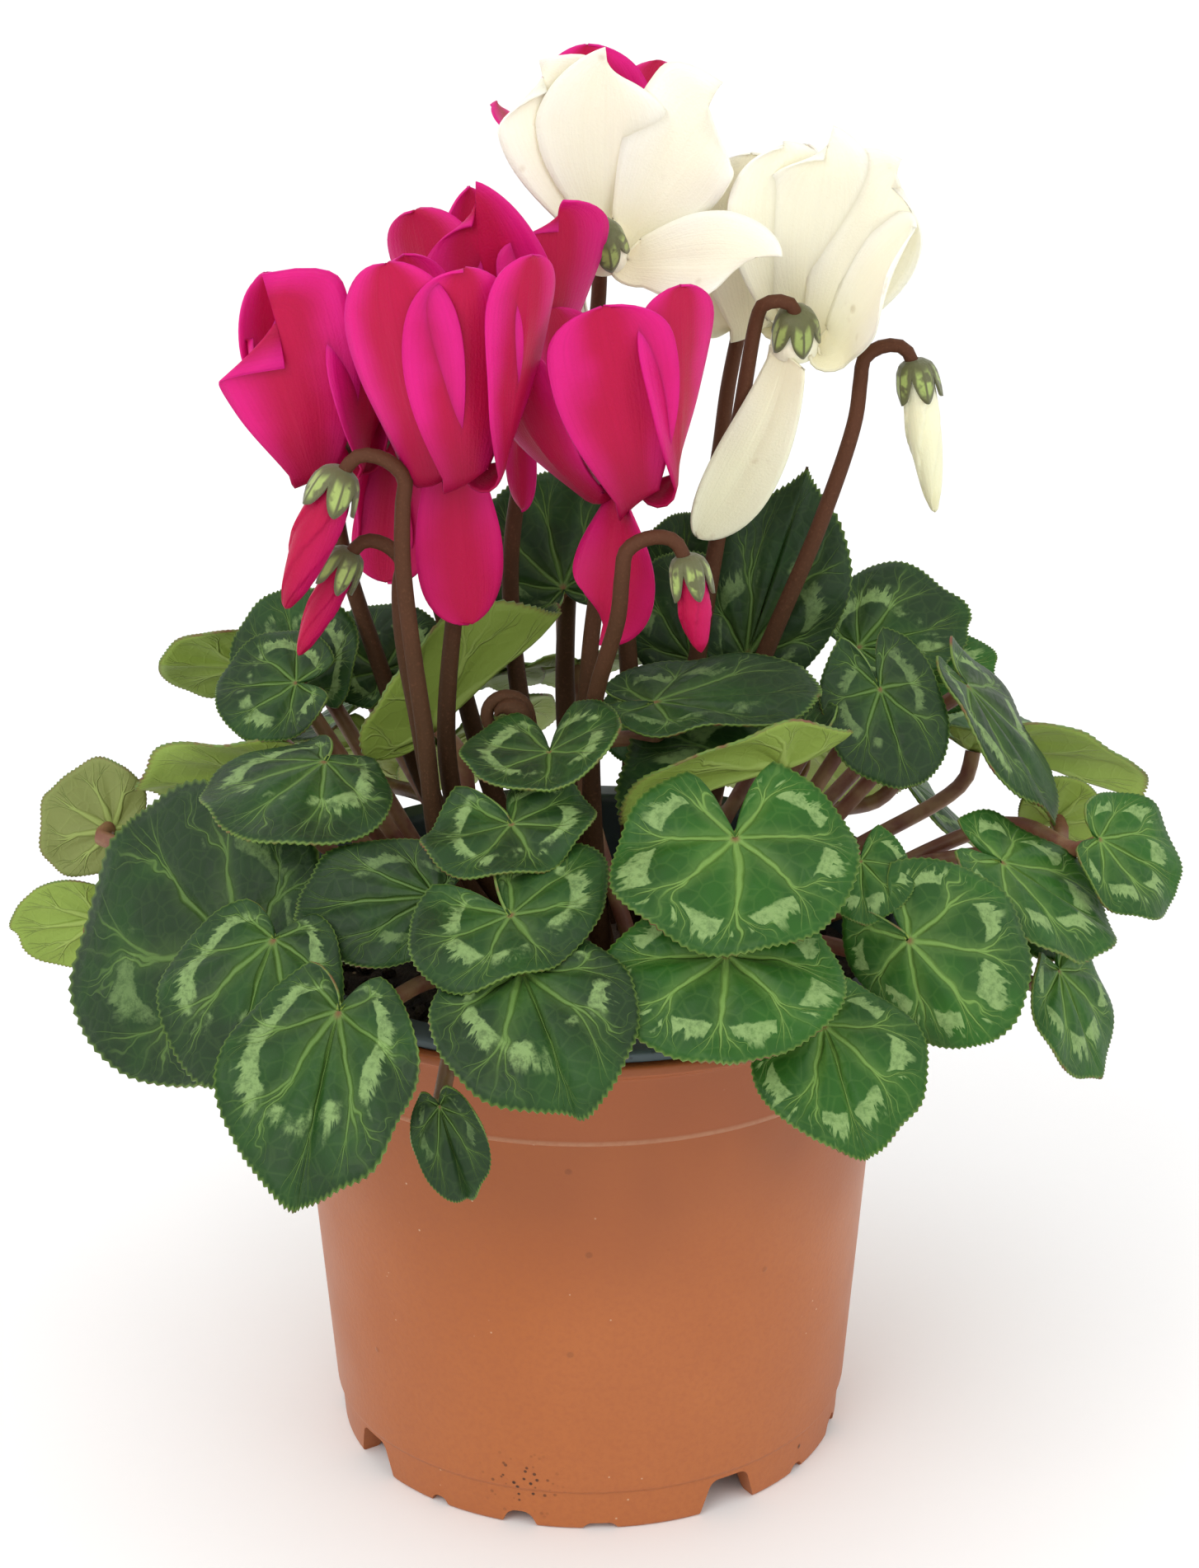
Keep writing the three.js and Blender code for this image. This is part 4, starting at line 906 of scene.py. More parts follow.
def make_corm():
    """The flattened corm, rough and corky, with buds crowded on its crown."""
    middle = (CORM_TOP + CORM_BOTTOM) / 2
    half = (CORM_TOP - CORM_BOTTOM) / 2

    def place(a, b):
        latitude = pi * (b - 0.5)
        ball = polar(cos(latitude), 2 * pi * a, sin(latitude))
        rough = 1 + 0.05 * noise.noise(ball * 2.2) + 0.03 * noise.noise(ball * 9)
        crown = 1.2 * eased(ball.z, 0.5, 0.95) * abs(noise.noise(ball * 6))
        return ball * Vector((CORM_RADIUS, CORM_RADIUS, half)) * rough + Vector((0, 0, middle + crown))

    return face_outward(formed_sheet("corm", 96, 40, place))


# Finishes

def add(tree, kind, inputs=None, **settings):
    """A new node, with its settings and what goes into its sockets."""
    node = tree.nodes.new(kind)
    for name, value in settings.items():
        setattr(node, name, value)
    for key, value in (inputs or {}).items():
        feed(node.inputs[key], value)
    return node


def feed(socket, value):
    """Links a value to a socket, or sets the socket to a plain number or colour."""
    if isinstance(value, Value):
        value.tree.links.new(value.socket, socket)
    elif socket.type == "RGBA":
        socket.default_value = (*value[:3], 1)
    else:
        socket.default_value = value


class Value:
    """What a node gives out. It is reckoned with like a number, and each step adds a node."""

    def __init__(self, socket):
        self.socket = socket
        self.tree = socket.id_data

    def math(self, operation, other=0.0):
        return Value(add(self.tree, "ShaderNodeMath", {0: self, 1: other}, operation=operation).outputs[0])

    def __add__(self, other):
        return self.math("ADD", other)

    def __sub__(self, other):
        return self.math("SUBTRACT", other)

    def __mul__(self, other):
        return self.math("MULTIPLY", other)

    def __truediv__(self, other):
        return self.math("DIVIDE", other)

    def __abs__(self):
        return self.math("ABSOLUTE")

    __radd__ = __add__
    __rmul__ = __mul__

    def smooth(self, low, high, start=0.0, end=1.0):
        """From start to end, smoothly, as this goes from low to high."""
        return Value(add(self.tree, "ShaderNodeMapRange", {0: self, 1: low, 2: high, 3: start, 4: end},
                         interpolation_type="SMOOTHSTEP").outputs[0])

    def noise(self, scale, detail=2.0, roughness=0.5):
        """Cloudy noise at this place."""
        return Value(add(self.tree, "ShaderNodeTexNoise", {"Vector": self, "Scale": scale, "Detail": detail,
                                                           "Roughness": roughness}).outputs[0])

    def cells(self, scale, feature="F1"):
        """Distance from the middle or edge of scattered cells at this place."""
        return valued(add(self.tree, "ShaderNodeTexVoronoi", {"Vector": self, "Scale": scale},
                          feature=feature))["Distance"]

    def split(self):
        return list(valued(add(self.tree, "ShaderNodeSeparateXYZ", {0: self})).values())


def valued(node):
    """A node's outputs by name."""
    return {socket.name: Value(socket) for socket in node.outputs}


def greatest(first, *others):
    for other in others:
        first = first.math("MAXIMUM", other)
    return first


def joined(x, y, z):
    return Value(add(x.tree, "ShaderNodeCombineXYZ", {0: x, 1: y, 2: z}).outputs[0])


def layered(colour, *layers):
    """The colour with others laid over it in turn, each of them as strong as its value."""
    for share, over in layers:
        node = add(share.tree, "ShaderNodeMix", {0: share, 6: colour, 7: over}, data_type="RGBA")
        colour = Value(node.outputs[2])
    return colour


def new_group(name, places, numbers):
    """A node group, and its inputs by name: the places, and then the numbers with their defaults."""
    group = bpy.data.node_groups.new(name, "ShaderNodeTree")
    for title in places:
        group.interface.new_socket(name=title, in_out="INPUT", socket_type="NodeSocketVector")
    for title, default in numbers.items():
        socket = group.interface.new_socket(name=title, in_out="INPUT", socket_type="NodeSocketFloat")
        socket.default_value = default
    return group, valued(add(group, "NodeGroupInput"))


def give_out(group, values):
    """Ends a group with its outputs by name."""
    for title in values:
        group.interface.new_socket(name=title, in_out="OUTPUT", socket_type="NodeSocketFloat")
    add(group, "NodeGroupOutput", values)
    return group


def use_group(group, **inputs):
    """The outputs of a group by name, in the material that its inputs come from."""
    return valued(add(inputs["Place"].tree, "ShaderNodeGroup", inputs, node_tree=group))


def leaf_marking_group():
    """A leaf's veins, silver band and margin from its own map, which runs round the outline and outwards."""
    group, given = new_group("Leaf marking", ("Map", "Place"), {
        "Middle": 0.66, "Width": 0.1, "Bare": 0.45, "Beads": 0.1, "Tip": 0.0, "Stoutness": 1.0,
    })
    place = given["Place"]
    around, reach, _ = given["Map"].split()
    own = place.noise(14, 0) * 9
    wander = place.noise(105, 2) - 0.5
    cell = abs((around * PRIMARY_VEINS + wander * 0.5).math("FRACT") - 0.5)
    forked = abs(cell - (reach + wander * 0.5).smooth(0.42, 1.05, 0, 0.3))
    twigs = abs(forked - (reach + wander * 0.3).smooth(0.66, 1, 0, 0.13))
    arc = reach * (2 * pi / PRIMARY_VEINS)
    width = reach.smooth(0, 1, 0.052, 0.014) * given["Stoutness"]
    from_tip = abs(around - 0.5)
    midrib = from_tip.smooth(0.03, 0.06, 1, 0)

    def line(distance, share, low=0.25, high=1.0):
        """1 along a vein, fading to 0 at its edge."""
        return (distance * arc / (width * share)).smooth(low, high, 1, 0)

    fading = greatest(reach.smooth(0.62, 0.8, 1, 0.25), midrib * reach.smooth(0.8, 0.97, 1, 0.2))
    main_vein = line(cell, 0.85 + midrib * 0.5) * fading
    fork_vein = line(forked, 0.7) * reach.smooth(0.42, 0.5) * reach.smooth(0.8, 0.97, 0.9, 0.1)
    twig_vein = line(twigs, 0.5) * reach.smooth(0.66, 0.74, 0, 0.55) * reach.smooth(0.88, 0.98, 1, 0)
    net = place.cells(300, "DISTANCE_TO_EDGE")
    fork_glow = line(forked, 0.8, 0.3, 4.0) * reach.smooth(0.4, 0.6)
    streaks = joined(around * 48, reach * 3.2, own).noise(1.0, 3, 0.7)
    lumps = joined(around * 11, reach * 2.2, own).noise(1.0, 2, 0.6)
    ragged = place.noise(620, 3, 0.75) - 0.5
    drift = joined(around * 4, 3.7, own).noise(1.0, 0) - 0.5
    off = reach - (given["Middle"] + drift * 0.36)
    outer = given["Width"] * (0.15 + streaks.smooth(0.3, 0.7) * 1.9)
    inner = given["Width"] * (0.35 + lumps * 0.9)
    rough = ragged * 0.085
    band = ((off + rough) / outer).smooth(0.45, 1.0, 1, 0) * ((rough - off) / inner).smooth(0.7, 1.0, 1, 0)
    nearest = (cell * 0.75).math("MINIMUM", forked)
    beads = (nearest.smooth(0.02, 0.14) - 0.6) * given["Beads"]
    tip = from_tip.smooth(0.05, 0.19, 1, 0) * given["Tip"]
    bare = tip + given["Bare"]
    patches = (lumps + beads + ragged * 0.22).smooth(bare - 0.09, bare + 0.09)
    away = around.smooth(0.02, 0.08) * around.smooth(0.92, 0.98, 1, 0)
    return give_out(group, {
        "Veins": greatest(main_vein, fork_vein, twig_vein, net.smooth(0.01, 0.09, 1, 0) * 0.10),
        "Glow": greatest(line(cell, 1.0, 0.3, 4.0), fork_glow) * reach.smooth(0.55, 0.95, 1, 0.2),
        "Silver": band * patches * away * ragged.smooth(-0.22, 0.1, 0.45, 1),
        "Swelling": net.smooth(0, 0.4) * 0.22 - greatest(main_vein * 0.7, fork_vein * 0.5, twig_vein * 0.4),
        "Margin": reach.smooth(0.972, 1.0),
    })


def mottling_group():
    """Uneven colour at two sizes, and small specks."""
    numbers = {"Patch": 40.0, "Grain": 600.0, "Speck": 400.0, "Rarity": 0.9}
    group, given = new_group("Mottling", ("Place",), numbers)
    place = given["Place"]
    spot = valued(add(group, "ShaderNodeTexVoronoi", {"Vector": place, "Scale": given["Speck"]}))
    chance = spot["Color"].split()[0]
    return give_out(group, {
        "Patches": place.noise(given["Patch"], 3, 0.55).smooth(0.3, 0.7),
        "Grain": place.noise(given["Grain"], 3, 0.65),
        "Specks": spot["Distance"].smooth(0.12, 0.24, 1, 0) * chance.math("GREATER_THAN", given["Rarity"]),
    })


def new_material(name):
    """A material, and its place and map coordinates."""
    material = bpy.data.materials.new(name)
    material.use_nodes = True
    where = valued(add(material.node_tree, "ShaderNodeTexCoord"))
    return material, where["Object"], where["UV"]


def mottled_material(name, **numbers):
    """A material, its place coordinates and its mottling."""
    material, place, _ = new_material(name)
    return material, place, use_group(shared("Mottling", mottling_group), Place=place, **numbers)


def completed(material, colour, roughness, relief=None, depth=0.0, **plain):
    """Feeds the material's shader. Relief is `depth` millimetres deep; `plain` has underscores for spaces."""
    surface = material.node_tree.nodes["Principled BSDF"]
    feed(surface.inputs["Base Color"], colour)
    feed(surface.inputs["Roughness"], roughness)
    if relief is not None:
        bump = add(relief.tree, "ShaderNodeBump", {"Height": relief, "Distance": depth * MM})
        feed(surface.inputs["Normal"], Value(bump.outputs[0]))
    for name, value in plain.items():
        surface.inputs[name.replace("_", " ")].default_value = value
    return material


# Middle and width of the silver band, how much of it is bare, how far it breaks up between the veins and at
# the tip, how silvery it is, and how light the green is.
LEAF_KINDS = {
    "banded": (0.63, 0.10, 0.42, 0.10, 0.22, 0.85, 0.2),
    "blotched": (0.74, 0.11, 0.50, 0.85, 0.0, 0.9, 0.75),
    "dark": (0.62, 0.09, 0.52, 0.15, 0.3, 0.45, 0.0),
    "young": (0.60, 0.10, 0.55, 0.20, 0.3, 0.35, 0.1),
}


def leaf_top(look, marking, kind):
    middle, width, bare, beads, tip, silvery, light = LEAF_KINDS[kind]
    material, place, leaf_map = new_material("leaf_top_" + kind)
    marks = use_group(marking, Map=leaf_map, Place=place, Middle=middle, Width=width, Bare=bare, Beads=beads,
                      Tip=tip)
    cloud = place.noise(60, 3).smooth(0.3, 0.72)
    fine = place.noise(1500, 2)
    green = layered(
        look.deep_green,
        (light + (cloud - 0.5) * 0.5, look.mid_green),
        (fine * 0.12, look.mid_green),
        (marks["Glow"] * (0.10 + 0.16 * light), look.vein),
        (marks["Silver"] * silvery, look.silver),
        (marks["Veins"] * (0.34 + 0.42 * light), look.vein),
        (leaf_map.split()[1].smooth(0.0, 0.06, 0.85, 0), look.junction),
        (marks["Margin"] * 0.6, look.margin),
    )
    return completed(material, green, 0.42 + fine * 0.16 + marks["Silver"] * 0.1,
                     marks["Swelling"] + fine * 0.12, 0.45, Specular_IOR_Level=0.25)


def leaf_under(look, marking, name, colour):
    material, place, leaf_map = new_material("leaf_under_" + name)
    marks = use_group(marking, Map=leaf_map, Place=place, Stoutness=1.3, Bare=2.0)
    cloud = place.noise(90, 3)
    green = layered(
        colour,
        (cloud * 0.5, [0.62 * channel for channel in colour]),
        (marks["Veins"] * 0.5, look.under_vein),
        (marks["Margin"] * 0.4, look.junction),
    )
    return completed(material, green, 0.5 + cloud * 0.15,
                     marks["Veins"] * 0.8 + place.noise(1200, 2) * 0.15, 0.4, Specular_IOR_Level=0.35)


def leaf_rim(look):
    material, place, _ = new_material("leaf_margin")
    tinge = place.noise(260, 2).smooth(0.45, 0.75)
    return completed(material, layered(look.margin, (tinge, look.junction)), 0.5 + tinge * 0.1)


def petal_finish(look, name):
    """Satin petals, with fine veins along them, deeper towards the mouth, and darkened lower down the plant
    with painted shade.
    """
    material, place, petal_map = new_material(name + "_petal_skin")
    edge, heart, foot = (getattr(look, name + part) for part in ("_edge", "_heart", "_foot"))
    across, along, _ = petal_map.split()
    veins = joined(across * 46, along * 2.2, place.noise(70, 1) * 1.2).noise(1, 2)
    cloud = place.noise(55, 2)
    sparkle = place.noise(2300, 1)
    height = place.split()[2]
    layers = [
        ((abs(across * 2 - 1) + (cloud - 0.5) * 0.9).smooth(0.25, 1.0), edge),
        (along.smooth(0.12, 0.42, 0.9, 0), foot),
        (veins.smooth(0.42, 0.72) * 0.09, foot),
    ]
    if name == "magenta":
        # Painted shade: magenta petals darken towards the heart colour lower down the plant.
        layers.append((height.smooth(0.165, 0.24, 0.75, 0), heart))
        scatter = (1, 0.4, 0.6)
    else:
        freckles = place.cells(340).smooth(0.10, 0.42, 1, 0) * place.noise(110, 1).smooth(0.60, 0.72)
        # Painted shade: the lower white petals go a darker greenish white.
        layers += [(height.smooth(0.2, 0.245, 0.62, 0), look.white_painted_shade), (freckles * 0.35, look.freckle)]
        scatter = (1, 0.9, 0.7)
    return completed(material, layered(heart, *layers), 0.46 + sparkle * 0.12,
                     veins * 0.3 + sparkle * 0.22 + cloud * 0.8, 0.35, Specular_IOR_Level=0.18,
                     Subsurface_Weight=0.25, Subsurface_Scale=3 * MM, Subsurface_Radius=scatter)


def stalk_finish(look):
    """Brown flower stalks, with a fine bloom of hairs, lighter and redder towards their tops."""
    material, place, _ = new_material("stalk_skin")
    cloud = place.noise(120, 3)
    fuzz = place.noise(1700, 3, 0.7)
    height = place.split()[2] + (cloud - 0.5) * 0.04
    colour = layered(look.stalk_low, (height.smooth(0.15, 0.215), look.stalk_high),
                     (fuzz.smooth(0.5, 0.8, 0, 0.4), look.stalk_bloom))
    return completed(material, colour, 0.5 + fuzz * 0.2, fuzz, 0.12, Specular_IOR_Level=0.12)


def petiole_finish(look):
    material, place, _ = new_material("petiole_skin")
    fine = place.noise(1500, 2)
    colour = layered(look.petiole_red, (place.noise(160, 3).smooth(0.35, 0.65), look.petiole_pale),
                     (place.split()[2].smooth(0.105, 0.125, 0.6, 0), look.stalk_low))
    return completed(material, colour, 0.42 + fine * 0.15, fine, 0.1)


def calyx_finish(look):
    """Olive sepals with bright yellow-green patches between their darker keels."""
    material, place, calyx_map = new_material("calyx_skin")
    around, reach, _ = calyx_map.split()
    lobe = abs((around * SEPALS).math("FRACT") - 0.5) * 2
    fuzz = place.noise(1500, 3, 0.7)
    patch = (lobe.smooth(0.25, 0.5) * lobe.smooth(0.86, 0.97, 1, 0) * reach.smooth(0.35, 0.55)
             * reach.smooth(0.8, 0.95, 1, 0) * place.noise(420, 2).smooth(0.36, 0.52))
    colour = layered(look.calyx_olive, (patch, look.calyx_bright), (fuzz * 0.3, look.stalk_high))
    return completed(material, colour, 0.48 + fuzz * 0.15, fuzz, 0.12, Sheen_Weight=0.25)


def pot_finish(look):
    """Thin terracotta-coloured plastic: satin, a little mottled, with dusty pale specks and soil specks.
    It also carries painted light: painted shade from the leaves on the wall below the band, painted shade
    on the band, a painted highlight line along the band and paler clouds that are painted soft reflections.
    """
    material, place, marks = mottled_material("pot_plastic", Patch=22, Grain=900, Speck=260, Rarity=0.955)
    height = place.split()[2]
    # Painted shade: grey-brown clouds on the upper wall below the band, where the leaves shade the pot.
    painted_leaf_shade = place.noise(13, 3, 0.45).smooth(0.25, 0.75) * height.smooth(0.045, 0.088)
    # Painted highlight: a thin pale line along the step at the foot of the band.
    line = height.smooth(0.0893, 0.0899) * height.smooth(0.0903, 0.0909, 1, 0)
    splash = valued(add(place.tree, "ShaderNodeVectorMath", {0: place, 1: Vector(SPLASH) * MM},
                        operation="DISTANCE"))["Value"]
    crumbs = place.cells(620).smooth(0.16, 0.3, 1, 0) * splash.smooth(0.002, 0.011, 0.9, 0)
    pale = place.cells(330).smooth(0.05, 0.09, 1, 0) * place.noise(70, 1).smooth(0.62, 0.66)
    colour = layered(
        look.clay,
        # Painted reflection: large paler clouds that stand for the pot's soft reflections.
        (place.noise(9, 2).smooth(0.3, 0.7), look.clay_painted_reflection),
        (marks["Patches"] * 0.25, look.clay_deep_and_band_shade),
        (painted_leaf_shade * 0.9, look.clay_painted_shade),
        # Painted shade: the band above its step is darkened towards the deep clay.
        (height.smooth(0.0885, 0.091, 0, 0.3), look.clay_deep_and_band_shade),
        (line * 0.22, look.dust_and_highlight),
        (marks["Grain"].smooth(0.35, 0.75, 0, 0.3), look.clay_deep_and_band_shade),
        (marks["Specks"] * height.smooth(0.02, 0.007, 0.25, 1) * 0.85, look.soil_dark),
        (crumbs, look.soil_dark),
        (pale * 0.6, look.dust_and_highlight),
    )
    return completed(material, colour, 0.36 + marks["Patches"] * 0.12 + painted_leaf_shade * 0.15,
                     marks["Grain"] + marks["Specks"] * 2, 0.06, Specular_IOR_Level=0.3)


def liner_finish(look):
    material, _, marks = mottled_material("liner_plastic", Patch=60, Grain=1100, Speck=500, Rarity=0.9)
    colour = layered(look.liner, (marks["Patches"] * 0.5, look.liner_worn),
                     (marks["Specks"] * 0.4, look.soil_dark))
    return completed(material, colour, 0.45 + marks["Grain"] * 0.15, marks["Grain"], 0.06)


def soil_finish(look):
    material, _, marks = mottled_material("peaty_soil", Patch=170, Grain=1500, Speck=420, Rarity=0.86)
    colour = layered(look.soil_dark, (marks["Patches"], look.soil_light), (marks["Specks"] * 0.7, look.dust_and_highlight))
    return completed(material, colour, 0.8 + marks["Grain"] * 0.15, marks["Grain"] + marks["Patches"], 0.6)


def corm_finish(look):
    material, _, marks = mottled_material("corm_bark", Patch=140, Grain=1200, Speck=500, Rarity=0.9)
    colour = layered(look.corm_dark, (marks["Patches"], look.stalk_low))
    return completed(material, colour, 0.65 + marks["Grain"] * 0.2, marks["Grain"] + marks["Patches"], 0.5)


def floor_finish(look):
    material, place, _ = new_material("floor_paper")
    grain = place.noise(300, 2)
    return completed(material, layered(look.floor, (grain * 0.03, (0.6, 0.6, 0.6))), 0.7 + grain * 0.1)


# Sizes and colours a user would change

def tint(name, description, default):
    return FloatVectorProperty(name=name, description=description, subtype="COLOR", size=3, min=0, max=1,
                               default=default)


def thickness(name, description, default):
    return FloatProperty(name=name, description=description, default=default * MM, min=0.0002, max=0.001,
                         unit="LENGTH", precision=5)


class CyclamenPotLook(PropertyGroup):
    """Colours of the pot, its liner and what fills it."""
    clay: tint("Clay", "Main colour of the pot", (0.365, 0.102, 0.024))
    # Colour of the paler clouds, which are painted soft reflections on the pot.
    clay_painted_reflection: tint("Light clay", "Paler clouds on the pot", (0.43, 0.138, 0.040))
    # On the band this colour is painted shade; elsewhere it is the redder patches and grain.
    clay_deep_and_band_shade: tint("Deep clay", "Redder patches and the band", (0.30, 0.082, 0.031))
    # Colour of the painted shade that the leaves cast on the upper wall, below the band.
    clay_painted_shade: tint("Smudges", "Grey-brown smudges under the band", (0.17, 0.056, 0.030))
    # This pale colour is both real dust specks and the painted highlight line on the pot's band.
    dust_and_highlight: tint("Dust", "Pale specks", (0.62, 0.45, 0.3))
    liner: tint("Liner", "Slate-grey inner pot", (0.035, 0.055, 0.062))
    liner_worn: tint("Worn liner", "Scuffs on the inner pot", (0.075, 0.11, 0.12))
    soil_dark: tint("Dark soil", "Darkest of the soil and its specks", (0.012, 0.008, 0.006))
    soil_light: tint("Light soil", "Driest of the soil", (0.055, 0.035, 0.022))


class CyclamenLeafLook(PropertyGroup):
    """Thickness and colours of the leaves."""
    thickness: thickness("Blade", "Thickness of a leaf", FINE_BLADE)
    deep_green: tint("Deep green", "Darkest of a leaf's upper face", (0.011, 0.030, 0.008))
    mid_green: tint("Mid green", "Lightest of its plain green", (0.020, 0.100, 0.007))
    silver: tint("Silver", "Band and blotches", (0.235, 0.36, 0.125))
    vein: tint("Veins", "Veins of the upper face", (0.20, 0.35, 0.075))
    margin: tint("Margin", "Teeth round the blade", (0.13, 0.22, 0.035))
    junction: tint("Junction", "Reddish spot where the blade meets its stalk", (0.18, 0.06, 0.03))
    underside: tint("Underside", "Pale lower face", (0.25, 0.36, 0.055))
    olive: tint("Olive underside", "Lower face of the older leaves", (0.22, 0.26, 0.07))
    under_vein: tint("Lower veins", "Veins of the lower face", (0.34, 0.45, 0.11))


class CyclamenBloomLook(PropertyGroup):
    """Thickness and colours of the blooms and their stalks."""
    thickness: thickness("Petal", "Thickness of a petal", FINE_PETAL)
    magenta_edge: tint("Magenta edge", "Outer part of a magenta petal", (0.66, 0.009, 0.20))
    # The heart colour is also the painted shade on the lower magenta blooms.
    magenta_heart: tint("Magenta heart", "Middle of a magenta petal", (0.42, 0.003, 0.050))
    magenta_foot: tint("Magenta foot", "Foot and veins of a magenta petal", (0.20, 0.001, 0.022))
    white_edge: tint("White edge", "Outer part of a white petal", (0.98, 0.955, 0.80))
    white_heart: tint("White heart", "Middle of a white petal", (0.95, 0.91, 0.70))
    white_foot: tint("White foot", "Foot and veins of a white petal", (0.84, 0.76, 0.52))
    # Colour of the painted shade on the lower white petals.
    white_painted_shade: tint("White shade", "Greenish tinge of the lower white petals", (0.70, 0.70, 0.42))
    freckle: tint("Freckles", "Tan freckles on the white petals", (0.42, 0.30, 0.14))
    stalk_low: tint("Low stalk", "Flower stalk near the corm", (0.055, 0.026, 0.011))
    stalk_high: tint("High stalk", "Flower stalk at its hook", (0.090, 0.034, 0.017))
    stalk_bloom: tint("Stalk hairs", "Fine hairs on the stalks", (0.17, 0.072, 0.038))
    petiole_red: tint("Red petiole", "Reddish streaks of a leaf's stalk", (0.17, 0.055, 0.032))
    petiole_pale: tint("Pale petiole", "Paler streaks of a leaf's stalk", (0.27, 0.15, 0.07))
    calyx_olive: tint("Sepals", "Olive of the sepals", (0.10, 0.115, 0.035))
    calyx_bright: tint("Sepal patches", "Bright patches between the keels", (0.36, 0.48, 0.12))
    corm_dark: tint("Corm", "Bark of the corm", (0.05, 0.028, 0.018))


class CyclamenStageLook(PropertyGroup):
    """Camera, floor and light."""
    lens: FloatProperty(name="Lens", description="Focal length in millimetres", default=83.3, min=20, max=200)
    floor: tint("Floor", "Pale floor", (0.97, 0.97, 0.97))
    sky: FloatProperty(name="Surround", description="Strength of the even light from all round", default=1.08,
                       min=0, max=5)
    key: FloatProperty(name="Key", description="Power of the large soft light", default=5, min=0, max=200,
                       subtype="POWER")


# Operators, one for each piece or group of like pieces and one for the stage

def shared(name, make, *given):
    """The node group or material of that name, made the first time it is asked for."""
    return bpy.data.node_groups.get(name) or bpy.data.materials.get(name) or make(*given)


def petal_skin(look, name):
    return shared(name + "_petal_skin", petal_finish, look, name)


class CYCLAMEN_OT_build_pot(Operator):
    """Build the outer pot"""
    bl_idname = "cyclamen.build_pot"
    bl_label = "Build pot"

    def execute(self, context):
        finished(make_pot(), "pot", ["pot"], pot_finish(context.scene.cyclamen_pot))
        return {"FINISHED"}


class CYCLAMEN_OT_build_liner(Operator):
    """Build the inner pot, whose rim stands just above the outer one"""
    bl_idname = "cyclamen.build_liner"
    bl_label = "Build liner"

    def execute(self, context):
        finished(make_liner(), "liner", ["pot_liner"], liner_finish(context.scene.cyclamen_pot))
        return {"FINISHED"}


class CYCLAMEN_OT_build_soil(Operator):
    """Build the soil and its crumbs"""
    bl_idname = "cyclamen.build_soil"
    bl_label = "Build soil"

    def execute(self, context):
        finished(make_soil(), "soil", ["soil"], soil_finish(context.scene.cyclamen_pot))
        return {"FINISHED"}


class CYCLAMEN_OT_build_corm(Operator):
    """Build the corm that all the stalks grow from"""
    bl_idname = "cyclamen.build_corm"
    bl_label = "Build corm"

    def execute(self, context):
        finished(make_corm(), "stalk", ["corm_with_stalks"], corm_finish(context.scene.cyclamen_bloom))
        return {"FINISHED"}


class CYCLAMEN_OT_build_petioles(Operator):
    """Build the stalk of every leaf"""
    bl_idname = "cyclamen.build_petioles"
    bl_label = "Build leaf stalks"

    def execute(self, context):
        radii = [PETIOLE_RADIUS] * (PETIOLE_STEPS + 1)
        petioles = [tube("petiole", bent_line(petiole_line(entry), PETIOLE_STEPS), radii) for entry in LEAVES]
        finished(merged(petioles, "petioles"), "stalk", ["corm_with_stalks"],
                 petiole_finish(context.scene.cyclamen_bloom))
        return {"FINISHED"}


class CYCLAMEN_OT_build_stalks(Operator):
    """Build the hooked stalks of the blooms and buds"""
    bl_idname = "cyclamen.build_stalks"
    bl_label = "Build flower stalks"

    def execute(self, context):
        stalks = [make_stalk(entry) for entry in (*FLOWERS, *BUDS)]
        finished(merged([*stalks, make_coiled_shoot()], "flower_stalks"), "stalk", ["corm_with_stalks"],
                 stalk_finish(context.scene.cyclamen_bloom))
        return {"FINISHED"}


class CYCLAMEN_OT_build_calyxes(Operator):
    """Build the five sepals behind each bloom and bud"""
    bl_idname = "cyclamen.build_calyxes"
    bl_label = "Build sepals"

    def execute(self, context):
        calyxes = merged([make_calyx(entry) for entry in (*FLOWERS, *BUDS)], "calyxes")
        finished(calyxes, "stalk", ["corm_with_stalks"], calyx_finish(context.scene.cyclamen_bloom))
        return {"FINISHED"}


class CYCLAMEN_OT_build_leaves(Operator):
    """Build every leaf over its solid"""
    bl_idname = "cyclamen.build_leaves"
    bl_label = "Build leaves"

    def execute(self, context):
        look = context.scene.cyclamen_leaf
        marking = leaf_marking_group()
        tops = {kind: leaf_top(look, marking, kind) for kind in LEAF_KINDS}
        unders = {"pale": leaf_under(look, marking, "pale", look.underside),
                  "olive": leaf_under(look, marking, "olive", look.olive)}
        rim = leaf_rim(look)
        for place in dict.fromkeys(entry["place"] for entry in LEAVES):
            kind = next((kind for kind in MARKS if place in MARKS[kind]), "banded")
            finishes = (tops[kind], unders["olive" if place in OLIVE_UNDERSIDES else "pale"], rim)
            blades = [make_blade(entry, number, look.thickness, finishes)
                      for number, entry in enumerate(LEAVES) if entry["place"] == place]
            title, node = ("blade_", "leaf_") if len(blades) == 1 else ("blades_", "leaves_")
            finished(merged(blades, title + place), "leaf", [node + place])
        return {"FINISHED"}


class CYCLAMEN_OT_build_blooms(Operator):
    """Build the open blooms"""
    bl_idname = "cyclamen.build_blooms"
    bl_label = "Build blooms"

    def execute(self, context):
        look = context.scene.cyclamen_bloom
        for entry in FLOWERS:
            petals = [make_petal(entry, petal, number, look.thickness)
                      for number, petal in enumerate(entry["petals"])]
            bloom = merged([*petals, make_throat(entry), make_anthers(entry)], entry["name"] + "_petals")
            finished(bloom, "petal_" + entry["finish"], [entry["name"]], petal_skin(look, entry["finish"]))
        return {"FINISHED"}


class CYCLAMEN_OT_build_buds(Operator):
    """Build the rolled buds"""
    bl_idname = "cyclamen.build_buds"
    bl_label = "Build buds"

    def execute(self, context):
        look = context.scene.cyclamen_bloom
        for entry in BUDS:
            bud = make_bud(entry)
            bud.name = entry["name"] + "_rolled"
            finished(bud, "petal_" + entry["finish"], [entry["name"]], petal_skin(look, entry["finish"]))
        return {"FINISHED"}


